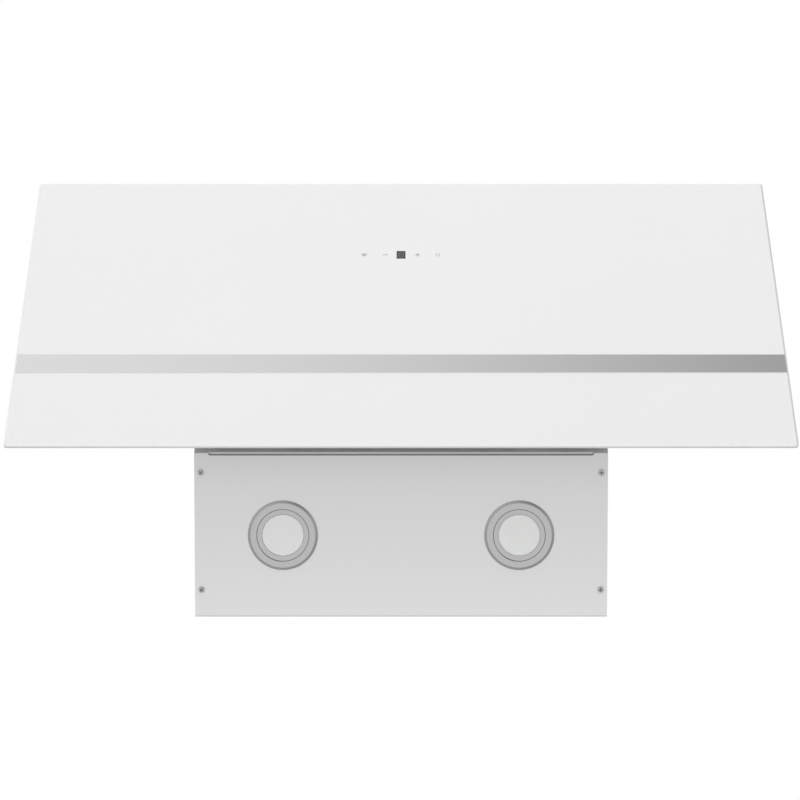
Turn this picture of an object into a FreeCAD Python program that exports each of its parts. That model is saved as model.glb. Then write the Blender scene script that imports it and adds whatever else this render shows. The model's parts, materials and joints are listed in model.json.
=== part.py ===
import FreeCAD, Part
import math
import os
import types

import Sketcher

# Inclined wall hood: a steel casing on the wall, a leaning glass front panel that swings open over two
# grease filters, a blower with its outlet collar, and a telescopic chimney.
# Frame: origin at the centre of the four wall screws on the wall plane, +X right, +Y into the wall, +Z up.
# Depths are measured from the wall towards the room, which is along -Y.

DRIVING_SIZES = (
    # Casing
    ("body_width", 470, "casing width"),
    ("body_height", 300, "underside to top of the casing"),
    ("bottom_depth", 189, "wall to the sloped front, at the underside"),
    ("slope", 50, "front frame and glass, degrees from level"),
    ("panel_sheet", 1, "sheet of the casing panels"),
    ("flange", 16, "folded edge of the side panels"),
    ("hang_height", 170, "underside to the centre of the wall screws"),
    ("wall_span_x", 300, "wall screws, across"),
    ("wall_span_z", 180, "wall screws, up"),
    ("wall_hole_dia", 8, "wall screw holes"),
    # Underside plate
    ("plate_setback", 1.5, "plate edge behind the sloped front"),
    ("notch_margin", 15, "plate end to its front notch"),
    ("notch_depth", 2.5, "front notch of the plate"),
    ("plate_screw_inset", 7.5, "screws from the side edges"),
    ("plate_screw_rear", 31, "rear screws from the wall"),
    ("plate_screw_span", 134.5, "rear to front screws"),
    # Screws
    ("screw_shank_dia", 3.6, "all small screws"),
    ("screw_head_dia", 6.8, "all small screws"),
    ("screw_head_height", 2, "all small screws"),
    ("screw_clear", 0.3, "hole over shank, on the radius"),
    # Lamps
    ("lamp_inset", 100.5, "lamps from the casing sides"),
    ("lamp_depth", 93.6, "lamps from the wall"),
    ("bezel_dia", 79.6, "outer ring"),
    ("bezel_bore", 59.2, "outer ring, inside"),
    ("bezel_height", 2.4, "outer ring below the plate"),
    ("bezel_slant", 3, "sloped rim of the outer ring, across"),
    ("bezel_wall", 1.5, "tube of the outer ring"),
    ("lens_dia", 47.4, "lens"),
    ("lens_thick", 4, "lens"),
    ("lamp_neck", 10, "inner ring above the plate"),
    ("heatsink_height", 28, "lamp heat sink"),
    ("fin_gap", 3, "between two fins of the heat sink"),
    ("fin_count", 4, "grooves between the fins"),
    ("lamp_clear", 0.3, "loose fit of the lamp rings, on the radius"),
    ("clip_sheet", 1.2, "lamp spring clips"),
    ("clip_width", 8, "lamp spring clips"),
    ("clip_reach", 14, "lamp spring clips, outwards"),
    # Filter frame
    ("frame_sheet", 1.5, "filter frame"),
    ("lip_clear", 1, "ends of the frame lip inside the plate notch"),
    ("lip_gap", 1.7, "folded frame lip to the plate"),
    ("lip_length", 8, "frame lip, up the slope"),
    ("rail_margin", 9, "filter recess beside the folded edge"),
    ("mullion", 24, "between the two recesses"),
    ("rail_bottom", 42, "below the recesses"),
    ("rail_top", 46, "above the recesses"),
    ("recess_depth", 12, "filter recess"),
    ("recess_wall", 1.2, "filter recess"),
    ("ledge", 6, "filter rest round the recess"),
    # Grease filters
    ("filter_clear", 1.2, "filter in its recess"),
    ("filter_thick", 9, "filter"),
    ("channel_sheet", 1.2, "filter edge channel"),
    ("channel_width", 14, "filter edge channel"),
    ("mesh_columns", 8, "diamond openings across"),
    ("mesh_rows", 12, "diamond openings up"),
    ("mesh_bar_x", 4.5, "metal between two openings, across"),
    ("mesh_bar_y", 2.2, "metal between two openings, up"),
    # Filter latches
    ("latch_cup_width", 70, "latch cup"),
    ("latch_cup_length", 32, "latch cup"),
    ("latch_wall", 1.5, "latch cup"),
    ("latch_width", 44, "slider"),
    ("latch_length", 18, "slider"),
    ("latch_thick", 4, "slider"),
    ("tongue_width", 22, "slider tongue"),
    ("tongue_thick", 2, "slider tongue"),
    ("tongue_grip", 1.6, "tongue beyond the recess wall"),
    ("groove_inset", 4.5, "finger groove inside the slider's edges"),
    ("groove_depth", 1, "finger groove"),
    ("latch_clear", 0.35, "slider in its guides"),
    # Glass front panel
    ("glass_width", 896, "glass"),
    ("glass_length", 450, "glass, up the slope"),
    ("glass_thick", 4, "glass"),
    ("glass_corner", 4, "corner radius"),
    ("glass_bevel", 2.2, "ground edge of the front face"),
    ("panel_gap", 20, "suction gap behind the glass"),
    ("glass_overhang", 13, "glass below the casing edge, along the slope"),
    ("strip_width", 30, "steel strip"),
    ("strip_sheet", 0.8, "steel strip"),
    ("strip_height", 131, "middle of the strip over the lower glass edge"),
    ("display_width", 10.8, "display window"),
    ("display_length", 13.8, "display window"),
    ("display_height", 318, "display window over the lower glass edge"),
    ("display_inlay", 0.5, "display window"),
    ("tape_thick", 0.8, "bonding tape"),
    ("tape_width", 14, "bonding tape"),
    ("backing_sheet", 1, "backing tray"),
    ("backing_fold", 8, "folded edge of the backing tray"),
    ("backing_inset", 20, "tray inside the casing width"),
    ("backing_bottom", 10, "tray above the casing edge, along the slope"),
    ("board_width", 140, "touch board"),
    ("board_length", 38, "touch board"),
    ("board_clear", 3, "touch board in its window"),
    ("housing_depth", 9, "touch housing"),
    ("housing_wall", 1.6, "touch housing"),
    ("housing_rim", 8, "touch housing"),
    # Panel hinges and catches
    ("hinge_inset", 70, "hinges from the casing sides"),
    ("hinge_drop", 10, "hinge axis below the top of the slope"),
    ("hinge_rise", 9, "hinge axis over the frame"),
    ("hinge_width", 50, "hinge"),
    ("hinge_knuckle", 18, "middle knuckle"),
    ("hinge_leaf", 2, "leaf"),
    ("hinge_leaf_length", 30, "leaf below the axis"),
    ("hinge_barrel_dia", 8, "knuckles"),
    ("hinge_pin_dia", 4, "pin"),
    ("hinge_clear", 0.06, "pin in the knuckles, on the radius"),
    ("knuckle_gap", 0.4, "between two knuckles"),
    ("catch_inset", 85, "catches from the casing sides"),
    ("catch_height", 24, "catches up the slope"),
    ("catch_width", 36, "catch"),
    ("catch_length", 14, "catch"),
    ("catch_rise", 11, "catch over the frame"),
    ("catch_gap", 0.4, "catch to strike plate"),
    ("strike_sheet", 1.2, "strike plate"),
    ("bumper_inset", 45, "bumpers from the casing sides"),
    ("bumper_dia", 10, "bumper"),
    # Blower
    ("blower_depth", 108, "blower axis from the wall"),
    ("blower_height", 125, "blower axis over the underside"),
    ("impeller_dia", 144, "impeller"),
    ("impeller_width", 112, "impeller"),
    ("blade_count", 36, "blades"),
    ("blade_depth", 12, "blade, radially"),
    ("blade_radius", 12, "curve of the blade"),
    ("blade_sweep", 6, "blade tip ahead of its root, degrees"),
    ("blade_angle", 1.1, "blade thickness, degrees"),
    ("end_ring", 3, "impeller end rings"),
    ("ring_lip", 1, "end rings beyond the blade tips"),
    ("hub_dia", 28, "impeller hub"),
    ("hub_length", 20, "impeller hub"),
    ("disc_thick", 2, "impeller disc"),
    ("shaft_dia", 8, "motor shaft"),
    ("shaft_clear", 0.05, "shaft in the motor, on the radius"),
    ("scroll_clear", 8, "impeller to scroll at the tongue"),
    ("scroll_step", 8, "growth of the scroll for each quarter"),
    ("scroll_wall", 2, "scroll shells"),
    ("scroll_side_gap", 10, "impeller to the scroll sides"),
    ("scroll_flange", 9, "flange under the top panel"),
    ("inlet_dia", 114, "scroll inlet"),
    ("inlet_lip", 4, "rim of the inlet"),
    ("motor_dia", 88, "motor"),
    ("motor_length", 60, "motor"),
    ("motor_bevel", 8, "motor end bells"),
    ("motor_boss", 4, "shaft boss of the motor"),
    ("hub_gap", 4, "motor boss to hub"),
    ("bracket_sheet", 2, "motor bracket"),
    ("bracket_arm", 14, "motor bracket arms"),
    ("grommet_dia", 12, "rubber mounts"),
    ("capacitor_dia", 34, "motor capacitor"),
    ("capacitor_length", 60, "motor capacitor"),
    ("capacitor_step", 3.4, "rim and terminal of the capacitor"),
    ("capacitor_height", 190, "motor capacitor over the underside"),
    # Electrics
    ("box_depth", 46, "control box, across"),
    ("box_length", 130, "control box, along the wall side"),
    ("box_height", 96, "control box"),
    ("box_wall", 2, "control box"),
    ("box_rise", 150, "control box over the underside"),
    ("box_setback", 30, "control box from the wall"),
    ("gland_dia", 20, "cable gland"),
    ("gland_bore", 9, "cable gland"),
    ("gland_head", 4, "cable gland head and nut"),
    ("gland_inset", 55, "cable gland from the right side"),
    ("gland_depth", 40, "cable gland from the wall"),
    # Outlet collar
    ("collar_dia", 150, "duct collar"),
    ("collar_wall", 2, "duct collar"),
    ("collar_height", 55, "duct collar"),
    ("collar_depth", 150, "duct collar from the wall"),
    ("collar_flange", 14, "flange of the collar"),
    ("collar_base", 2.5, "flange of the collar"),
    ("flap_stop", 3, "ledge under the flaps"),
    ("flap_thick", 1.5, "flap"),
    ("flap_clear", 1.5, "flap to collar wall"),
    ("flap_rest", 0.3, "flap over its ledge"),
    ("flap_offset", 4, "flap axis from the middle"),
    ("flap_barrel_dia", 4.8, "flap barrel"),
    ("flap_pin_dia", 3.6, "flap pivots"),
    ("flap_pin_clear", 0.06, "flap pivots, on the radius"),
    ("flap_pin_inset", 0.5, "pivot ends inside the outer face of the collar"),
    ("flap_rib", 2, "middle rib of the collar"),
    # Chimney
    ("chimney_width", 260, "lower cover"),
    ("chimney_depth", 280, "lower cover"),
    ("chimney_height", 420, "lower cover"),
    ("chimney_sheet", 0.8, "covers"),
    ("chimney_fold", 15, "folded rear edges"),
    ("chimney_bend", 2, "outer radius of the bends"),
    ("chimney_clear", 1.2, "upper cover in the lower cover"),
    ("chimney_peek", 20, "upper cover above the lower cover"),
    ("chimney_seat", 0.3, "lowered upper cover over the clips"),
    ("clip_height", 16, "chimney clips on the casing"),
    ("chimney_clip_length", 60, "chimney clips"),
    ("slot_count", 6, "vent slots on each side"),
    ("slot_pitch", 14, "vent slots"),
    ("slot_length", 120, "vent slots"),
    ("slot_width", 6, "vent slots"),
    ("slot_drop", 56, "first slot below the top"),
    ("bracket_height", 28, "chimney wall bracket"),
    ("bracket_thick", 1.8, "chimney wall bracket"),
    ("bracket_ear", 34, "chimney wall bracket"),
    ("bracket_span", 140, "wall holes of the bracket"),
    ("bracket_hole_dia", 6, "wall holes of the bracket"),
)

doc = FreeCAD.newDocument("range_hood")
sheet = doc.addObject("Spreadsheet::Sheet", "dims")


class Dim:
    """A length or angle that carries its number and the spreadsheet expression that gives it."""

    def __init__(self, value, text):
        self.value = value
        self.text = text

    def __add__(self, other):
        other = as_dim(other)
        return Dim(self.value + other.value, f"({self.text} + {other.text})")

    def __radd__(self, other):
        return as_dim(other) + self

    def __sub__(self, other):
        other = as_dim(other)
        return Dim(self.value - other.value, f"({self.text} - {other.text})")

    def __rsub__(self, other):
        return as_dim(other) - self

    def __mul__(self, other):
        other = as_dim(other)
        return Dim(self.value * other.value, f"({self.text} * {other.text})")

    def __rmul__(self, other):
        return as_dim(other) * self

    def __truediv__(self, other):
        other = as_dim(other)
        return Dim(self.value / other.value, f"({self.text} / {other.text})")

    def __neg__(self):
        return Dim(-self.value, f"(0 - {self.text})")


def as_dim(number):
    """Take a plain number as a dimension."""
    return number if isinstance(number, Dim) else Dim(float(number), f"{number:.10g}")


def sin(angle):
    """Sine of an angle in degrees."""
    angle = as_dim(angle)
    return Dim(math.sin(math.radians(angle.value)), f"sin({angle.text})")


def cos(angle):
    """Cosine of an angle in degrees."""
    angle = as_dim(angle)
    return Dim(math.cos(math.radians(angle.value)), f"cos({angle.text})")


def tan(angle):
    """Tangent of an angle in degrees."""
    return sin(angle) / cos(angle)


def fill_sheet():
    """Write the driving sizes to the spreadsheet and return them by name."""
    named = {}
    for row, (alias, number, note) in enumerate(DRIVING_SIZES, start=1):
        sheet.set(f"A{row}", note)
        sheet.set(f"B{row}", str(number))
        sheet.setAlias(f"B{row}", alias)
        named[alias] = Dim(float(number), f"dims.{alias}")
    doc.recompute()
    return types.SimpleNamespace(**named)


S = fill_sheet()

# Places that several pieces share
HALF_WIDTH = S.body_width / 2
UNDERSIDE = -S.hang_height
TOP = S.body_height - S.hang_height
SLOPE_LENGTH = S.body_height / sin(S.slope)
HALF_TURN = 180
SLOPE_TURN = HALF_TURN - S.slope
NOTCH_HALF = HALF_WIDTH - S.notch_margin
LAMP_X = HALF_WIDTH - S.lamp_inset
GLAND_X = HALF_WIDTH - S.gland_inset
SHANK_R = S.screw_shank_dia / 2
HOLE_R = SHANK_R + S.screw_clear
WINDOW_WIDTH = (S.body_width - 2 * (S.flange + S.rail_margin) - S.mullion) / 2
WINDOW_LOW = S.rail_bottom
WINDOW_HIGH = SLOPE_LENGTH - S.rail_top
LEDGE_LEVEL = S.recess_wall - S.recess_depth
FILTER_HIGH = WINDOW_HIGH - S.filter_clear
SLIDER_LEVEL = LEDGE_LEVEL + S.channel_sheet + S.latch_wall + S.latch_clear
TONGUE_LEVEL = SLIDER_LEVEL + S.latch_thick / 2
BACKING_LEVEL = S.panel_gap - S.tape_thick - S.backing_sheet
HINGE_U = SLOPE_LENGTH - S.hinge_drop
DISPLAY_U = S.display_height - S.glass_overhang
BLOWER_Z = UNDERSIDE + S.blower_height
SCROLL_HALF = S.impeller_width / 2 + S.scroll_side_gap + S.scroll_wall
MOTOR_FRONT = -(S.hub_length / 2 + S.hub_gap + S.motor_boss)
MOTOR_REAR = MOTOR_FRONT - S.motor_length
GROMMET_R = S.inlet_dia / 2 + S.grommet_dia / 2 + S.inlet_lip
ARM_COUNT = 3
COLLAR_R = S.collar_dia / 2
COLLAR_SCREW_R = COLLAR_R + S.collar_flange / 2
FLAP_LEVEL = TOP + S.collar_base + S.flap_rest
FLAP_AXIS_Z = FLAP_LEVEL + S.flap_barrel_dia / 2
UPPER_LOW = TOP + S.clip_height + S.chimney_seat
UPPER_HIGH = TOP + S.chimney_height + S.chimney_peek
UPPER_SETBACK = S.chimney_sheet + S.chimney_clear
SIDES = (("left", -1), ("right", 1))

parts = []


def named(item, label):
    """Give a finished sub-part its label and list it."""
    item.Label = label
    parts.append(item)
    return item


def bind(item, prop, dim):
    """Tie a property to the spreadsheet."""
    item.setExpression(prop, as_dim(dim).text)


def place(item, x=0, y=0, z=0, axis=(0, 0, 1), angle=0):
    """Move and turn a piece, with its place tied to the spreadsheet."""
    x, y, z, angle = as_dim(x), as_dim(y), as_dim(z), as_dim(angle)
    turn = FreeCAD.Rotation(FreeCAD.Vector(*axis), angle.value)
    item.Placement = FreeCAD.Placement(FreeCAD.Vector(x.value, y.value, z.value), turn)
    bind(item, ".Placement.Base.x", x)
    bind(item, ".Placement.Base.y", y)
    bind(item, ".Placement.Base.z", z)
    if angle.value:
        bind(item, ".Placement.Rotation.Angle", angle)
    return item


def place_on_slope(item):
    """Set a piece drawn flat (x across, y up the slope, z outwards) on the casing's sloped front."""
    return place(item, 0, -S.bottom_depth, UNDERSIDE, (1, 0, 0), SLOPE_TURN)


def slope_depth(height):
    """Depth of the sloped front from the wall, at a height over the underside."""
    return S.bottom_depth + height / tan(S.slope)


def new_body(label):
    """Start a PartDesign body for one sub-part."""
    return named(doc.addObject("PartDesign::Body", label), label)


def sketch(body, plane="XY_Plane", lift=0):
    """Start a sketch on one of the body's own planes, lifted along the plane's normal."""
    drawing = body.newObject("Sketcher::SketchObject", f"{body.Name}_sketch")
    support = [item for item in body.Origin.OriginFeatures if item.Role == plane][0]
    drawing.AttachmentSupport = [(support, "")]
    drawing.MapMode = "FlatFace"
    bind(drawing, ".AttachmentOffset.Base.z", lift)
    return drawing


def slope_sketch(body, lift=0):
    """Start a sketch that lies on the sloped front, in a body that is drawn in the casing's frame."""
    drawing = sketch(body)
    lift = as_dim(lift)
    turn = FreeCAD.Rotation(FreeCAD.Vector(1, 0, 0), SLOPE_TURN.value)
    drawing.AttachmentOffset = FreeCAD.Placement(FreeCAD.Vector(0, 0, 0), turn)
    bind(drawing, ".AttachmentOffset.Base.y", -S.bottom_depth - lift * sin(S.slope))
    bind(drawing, ".AttachmentOffset.Base.z", UNDERSIDE - lift * cos(S.slope))
    bind(drawing, ".AttachmentOffset.Rotation.Angle", SLOPE_TURN)
    return drawing


def level_sketch(body):
    """Start a sketch that lies level at the underside, in a body that is drawn flat on the slope."""
    drawing = sketch(body)
    turn = FreeCAD.Rotation(FreeCAD.Vector(-1, 0, 0), SLOPE_TURN.value)
    drawing.AttachmentOffset = FreeCAD.Placement(FreeCAD.Vector(0, 0, 0), turn)
    bind(drawing, ".AttachmentOffset.Rotation.Angle", SLOPE_TURN)
    return drawing


def fix_value(drawing, kind, geometry, point, dim):
    """Hold a sketch point at a bound distance from the sketch origin."""
    index = drawing.addConstraint(Sketcher.Constraint(kind, -1, 1, geometry, point, dim.value))
    bind(drawing, f"Constraints[{index}]", dim)


def fix_point(drawing, geometry, point, x, y):
    """Hold a sketch point at bound coordinates."""
    fix_value(drawing, "DistanceX", geometry, point, as_dim(x))
    fix_value(drawing, "DistanceY", geometry, point, as_dim(y))


def arc_edge(start, end, radius, side):
    """Minor arc between two points, its centre to the left (side 1) or right (side -1) of the way."""
    across = end - start
    left = FreeCAD.Vector(-across.y, across.x, 0).normalize()
    rise = math.sqrt(radius ** 2 - (across.Length / 2) ** 2)
    centre = (start + end) * 0.5 + left * rise * side
    first, last = (start, end) if side > 0 else (end, start)
    begin = math.atan2(first.y - centre.y, first.x - centre.x)
    finish = math.atan2(last.y - centre.y, last.x - centre.x)
    circle = Part.Circle(centre, FreeCAD.Vector(0, 0, 1), radius)
    return Part.ArcOfCircle(circle, begin, finish)


def loop(drawing, points, arcs=None):
    """Draw a closed outline through bound points; arcs gives (radius, side) for some of its stretches."""
    arcs = arcs or {}
    corners = [(as_dim(x), as_dim(y)) for x, y in points]
    spots = [FreeCAD.Vector(x.value, y.value, 0) for x, y in corners]
    ends = []
    for step, start in enumerate(spots):
        end = spots[(step + 1) % len(spots)]
        if step in arcs:
            radius, side = arcs[step]
            edge = drawing.addGeometry(arc_edge(start, end, as_dim(radius).value, side), False)
            index = drawing.addConstraint(Sketcher.Constraint("Radius", edge, as_dim(radius).value))
            bind(drawing, f"Constraints[{index}]", radius)
            ends.append((edge, 1, 2) if side > 0 else (edge, 2, 1))
        else:
            edge = drawing.addGeometry(Part.LineSegment(start, end), False)
            ends.append((edge, 1, 2))
    for step, (edge, start, _) in enumerate(ends):
        before, _, end = ends[step - 1]
        drawing.addConstraint(Sketcher.Constraint("Coincident", before, end, edge, start))
        fix_point(drawing, edge, start, *corners[step])


def rectangle(drawing, x0, y0, x1, y1):
    """Draw a bound rectangle."""
    loop(drawing, [(x0, y0), (x1, y0), (x1, y1), (x0, y1)])


def circle(drawing, x, y, radius):
    """Draw a bound circle."""
    x, y, radius = as_dim(x), as_dim(y), as_dim(radius)
    centre = FreeCAD.Vector(x.value, y.value, 0)
    ring = Part.Circle(centre, FreeCAD.Vector(0, 0, 1), radius.value)
    edge = drawing.addGeometry(ring, False)
    index = drawing.addConstraint(Sketcher.Constraint("Radius", edge, radius.value))
    bind(drawing, f"Constraints[{index}]", radius)
    fix_point(drawing, edge, 3, x, y)


def pad(body, drawing, length, reverse=False, both=False):
    """Raise a sketch to a bound length, along its normal, against it, or half each way."""
    feature = body.newObject("PartDesign::Pad", f"{body.Name}_pad")
    feature.Profile = drawing
    bind(feature, "Length", length)
    feature.Reversed = reverse
    if both:
        feature.SideType = "Symmetric"
    return feature


def pocket(body, drawing, length, reverse=False, both=False):
    """Cut a sketch into the body, against its normal unless reversed, and make sure that it cuts."""
    doc.recompute()
    before = body.Shape.Volume
    feature = body.newObject("PartDesign::Pocket", f"{body.Name}_pocket")
    feature.Profile = drawing
    bind(feature, "Length", length)
    feature.Reversed = reverse
    if both:
        feature.SideType = "Symmetric"
    doc.recompute()
    if body.Shape.Volume >= before:
        raise RuntimeError(f"{feature.Name} cuts nothing")
    return feature


def revolve(body, points, arcs=None):
    """Turn an outline of (radius, height) points round the body's Z axis."""
    drawing = sketch(body, "XZ_Plane")
    loop(drawing, points, arcs)
    feature = body.newObject("PartDesign::Revolution", f"{body.Name}_turn")
    feature.Profile = drawing
    feature.ReferenceAxis = (drawing, ["V_Axis"])
    feature.Angle = 360
    return feature


def repeat_round(body, feature, count):
    """Repeat a feature evenly round the body's Z axis."""
    pattern = body.newObject("PartDesign::PolarPattern", f"{body.Name}_pattern")
    axis = [item for item in body.Origin.OriginFeatures if item.Role == "Z_Axis"][0]
    pattern.Originals = [feature]
    pattern.Axis = (axis, [""])
    pattern.Angle = 360
    bind(pattern, "Occurrences", count)
    body.Tip = pattern
    return pattern


def block(x0, y0, z0, x1, y1, z1):
    """A bound box between two corners."""
    item = doc.addObject("Part::Box", "block")
    bind(item, "Length", as_dim(x1) - x0)
    bind(item, "Width", as_dim(y1) - y0)
    bind(item, "Height", as_dim(z1) - z0)
    return place(item, x0, y0, z0)


def rod(radius, length, x, y, z, axis=(0, 0, 1), angle=0):
    """A bound cylinder from a point, along +Z turned by an angle about an axis."""
    item = doc.addObject("Part::Cylinder", "rod")
    bind(item, "Radius", radius)
    bind(item, "Height", length)
    return place(item, x, y, z, axis, angle)


ALONG_X = {"axis": (0, 1, 0), "angle": 90}


def fuse(*items):
    """Join solids into one."""
    joined = doc.addObject("Part::MultiFuse", "joined")
    joined.Shapes = list(items)
    return joined


def cut(base, *tools):
    """Take one or more solids out of another."""
    result = doc.addObject("Part::Cut", "cut")
    result.Base = base
    result.Tool = tools[0] if len(tools) == 1 else fuse(*tools)
    return result


def group(label, items):
    """Hold several separate solids as one sub-part."""
    held = doc.addObject("Part::Compound", label)
    held.Links = list(items)
    return named(held, label)


def screw(x, y, z, grip, outward=1):
    """A small screw along Z: head outside a face at z, shank inside; outward is the head's way."""
    head_low = z if outward > 0 else z - S.screw_head_height
    shank_low = z - grip if outward > 0 else z
    head = rod(S.screw_head_dia / 2, S.screw_head_height, x, y, head_low)
    return fuse(head, rod(SHANK_R, grip, x, y, shank_low))


def edges_where(feature, test):
    """Names of a feature's edges whose end points pass a test."""
    doc.recompute()
    found = []
    for number, edge in enumerate(feature.Shape.Edges, start=1):
        ends = [vertex.Point for vertex in edge.Vertexes]
        if len(ends) == 2 and test(*ends):
            found.append(f"Edge{number}")
    return found


# Casing panels

def wall_screw_places():
    """Centres of the four wall screws, as (x, z)."""
    return [(sx * S.wall_span_x / 2, sz * S.wall_span_z / 2) for sx in (-1, 1) for sz in (-1, 1)]


def plate_screw_places():
    """Centres of the four underside screws, as (x, y)."""
    x = HALF_WIDTH - S.plate_screw_inset
    rear = -S.plate_screw_rear
    return [(sign * x, y) for sign in (-1, 1) for y in (rear, rear - S.plate_screw_span)]


def frame_screw_places():
    """Centres of the six screws that hold the filter frame, as (x, up the slope)."""
    low, high = S.rail_bottom, SLOPE_LENGTH - S.rail_top
    x = HALF_WIDTH - S.flange / 2
    return [(sign * x, u) for sign in (-1, 1) for u in (low, (low + high) / 2, high)]


def collar_screw_places():
    """Centres of the four collar screws, as (x, y)."""
    reach = COLLAR_SCREW_R * cos(45)
    return [(sx * reach, sy * reach - S.collar_depth) for sx in (-1, 1) for sy in (-1, 1)]


def back_panel():
    """Flat rear wall with the four wall holes."""
    body = new_body("back_panel")
    drawing = sketch(body, "XZ_Plane")
    rectangle(drawing, -HALF_WIDTH, UNDERSIDE, HALF_WIDTH, TOP)
    for x, z in wall_screw_places():
        circle(drawing, x, z, S.wall_hole_dia / 2)
    pad(body, drawing, S.panel_sheet)


def side_outline(edge):
    """Side of the casing in (y, z), a distance inside the casing's outer faces."""
    behind = (S.frame_sheet + edge - S.panel_sheet) / sin(S.slope)
    low = -(slope_depth(edge) - behind)
    high = -(slope_depth(S.body_height - edge) - behind)
    return [(-edge, UNDERSIDE + edge), (low, UNDERSIDE + edge), (high, TOP - edge), (-edge, TOP - edge)]


def side_panel(side, sign):
    """Side wall with folded edges all round, and the screw holes in its folds."""
    body = new_body(f"{side}_side_panel")
    outline = sketch(body, "YZ_Plane", sign * HALF_WIDTH)
    loop(outline, side_outline(S.panel_sheet))
    pad(body, outline, S.flange, reverse=sign > 0)
    hollow = sketch(body, "YZ_Plane", sign * (HALF_WIDTH - S.panel_sheet))
    loop(hollow, side_outline(2 * S.panel_sheet))
    pocket(body, hollow, S.flange, reverse=sign < 0)
    plate_holes = sketch(body, "XY_Plane", UNDERSIDE + 2 * S.panel_sheet)
    for x, y in plate_screw_places():
        if x.value * sign > 0:
            circle(plate_holes, x, y, HOLE_R)
    pocket(body, plate_holes, S.panel_sheet)
    frame_holes = slope_sketch(body, -S.frame_sheet)
    for x, u in frame_screw_places():
        if x.value * sign > 0:
            circle(frame_holes, x, u, HOLE_R)
    pocket(body, frame_holes, S.panel_sheet)


def top_panel():
    """Flat top with the outlet hole, its screw holes and the cable gland's hole."""
    body = new_body("top_panel")
    front = slope_depth(S.body_height - S.panel_sheet) - S.frame_sheet / sin(S.slope)
    drawing = sketch(body, "XY_Plane", TOP - S.panel_sheet)
    rectangle(drawing, -HALF_WIDTH, -front, HALF_WIDTH, -S.panel_sheet)
    circle(drawing, 0, -S.collar_depth, COLLAR_R - S.collar_wall)
    circle(drawing, GLAND_X, -S.gland_depth, S.gland_dia / 2 + S.screw_clear)
    for x, y in collar_screw_places():
        circle(drawing, x, y, HOLE_R)
    pad(body, drawing, S.panel_sheet)


def bottom_plate():
    """Underside plate with its front notch, lamp cut-outs and screw holes."""
    body = new_body("bottom_plate")
    front = S.plate_setback - S.bottom_depth
    notch = NOTCH_HALF
    drawing = sketch(body, "XY_Plane", UNDERSIDE)
    loop(drawing, [
        (-HALF_WIDTH, -S.panel_sheet), (-HALF_WIDTH, front),
        (-notch, front), (S.notch_depth - notch, front + S.notch_depth),
        (notch - S.notch_depth, front + S.notch_depth), (notch, front),
        (HALF_WIDTH, front), (HALF_WIDTH, -S.panel_sheet)])
    for sign in (-1, 1):
        circle(drawing, sign * LAMP_X, -S.lamp_depth, lamp_tube_r() + S.lamp_clear)
    for x, y in plate_screw_places():
        circle(drawing, x, y, HOLE_R)
    pad(body, drawing, S.panel_sheet)


def casing_screws():
    """Underside screws, and the screws that hold the filter frame."""
    grip = 2 * S.panel_sheet + S.screw_head_height
    group("bottom_plate_screws", [screw(x, y, UNDERSIDE, grip, -1) for x, y in plate_screw_places()])
    grip = S.frame_sheet + S.panel_sheet + S.screw_head_height
    place_on_slope(group("frame_screws", [screw(x, u, as_dim(0), grip) for x, u in frame_screw_places()]))


# Filter frame and filters, drawn flat on the slope

def window(sign, inset):
    """Corners of a filter recess, a distance inside its walls."""
    middle = sign * (S.mullion + WINDOW_WIDTH) / 2
    half = WINDOW_WIDTH / 2 - inset
    return middle - half, WINDOW_LOW + inset, middle + half, WINDOW_HIGH - inset


def window_middle(sign):
    """Middle of a filter recess, across."""
    return sign * (S.mullion + WINDOW_WIDTH) / 2


def tongue_slot(body, sign, up, depth):
    """Cut the slot of a latch tongue through a wall that starts at a height up the slope."""
    slot = sketch(body, "XZ_Plane", -up)
    half = S.tongue_width / 2 + S.latch_clear
    rise = S.tongue_thick / 2 + S.latch_clear
    middle = window_middle(sign)
    rectangle(slot, middle - half, TONGUE_LEVEL - rise, middle + half, TONGUE_LEVEL + rise)
    pocket(body, slot, depth)


def front_frame():
    """Sloped frame with a lip folded into the plate's notch, two filter recesses and the latch slots."""
    body = new_body("front_frame")
    lip = NOTCH_HALF - S.lip_clear
    face = sketch(body)
    loop(face, [
        (-lip, 0), (lip, 0), (lip, S.lip_length), (HALF_WIDTH, S.lip_length),
        (HALF_WIDTH, SLOPE_LENGTH), (-HALF_WIDTH, SLOPE_LENGTH), (-HALF_WIDTH, S.lip_length),
        (-lip, S.lip_length)])
    for x, u in frame_screw_places():
        circle(face, x, u, HOLE_R)
    pad(body, face, S.frame_sheet, reverse=True)
    fold = level_sketch(body)
    fold_depth = S.plate_setback + S.notch_depth - S.lip_gap
    loop(fold, [(-lip, 0), (lip, 0), (lip - fold_depth, fold_depth), (fold_depth - lip, fold_depth)])
    pad(body, fold, S.frame_sheet)
    for _, sign in SIDES:
        recess = sketch(body)
        rectangle(recess, *window(sign, -S.recess_wall))
        pad(body, recess, S.recess_depth, reverse=True)
    for _, sign in SIDES:
        hollow = sketch(body)
        rectangle(hollow, *window(sign, as_dim(0)))
        pocket(body, hollow, S.recess_depth - S.recess_wall)
        opening = sketch(body)
        rectangle(opening, *window(sign, S.ledge))
        pocket(body, opening, 2 * S.recess_depth)
        tongue_slot(body, sign, WINDOW_HIGH - S.recess_wall, 3 * S.recess_wall)
    place_on_slope(body)


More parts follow.
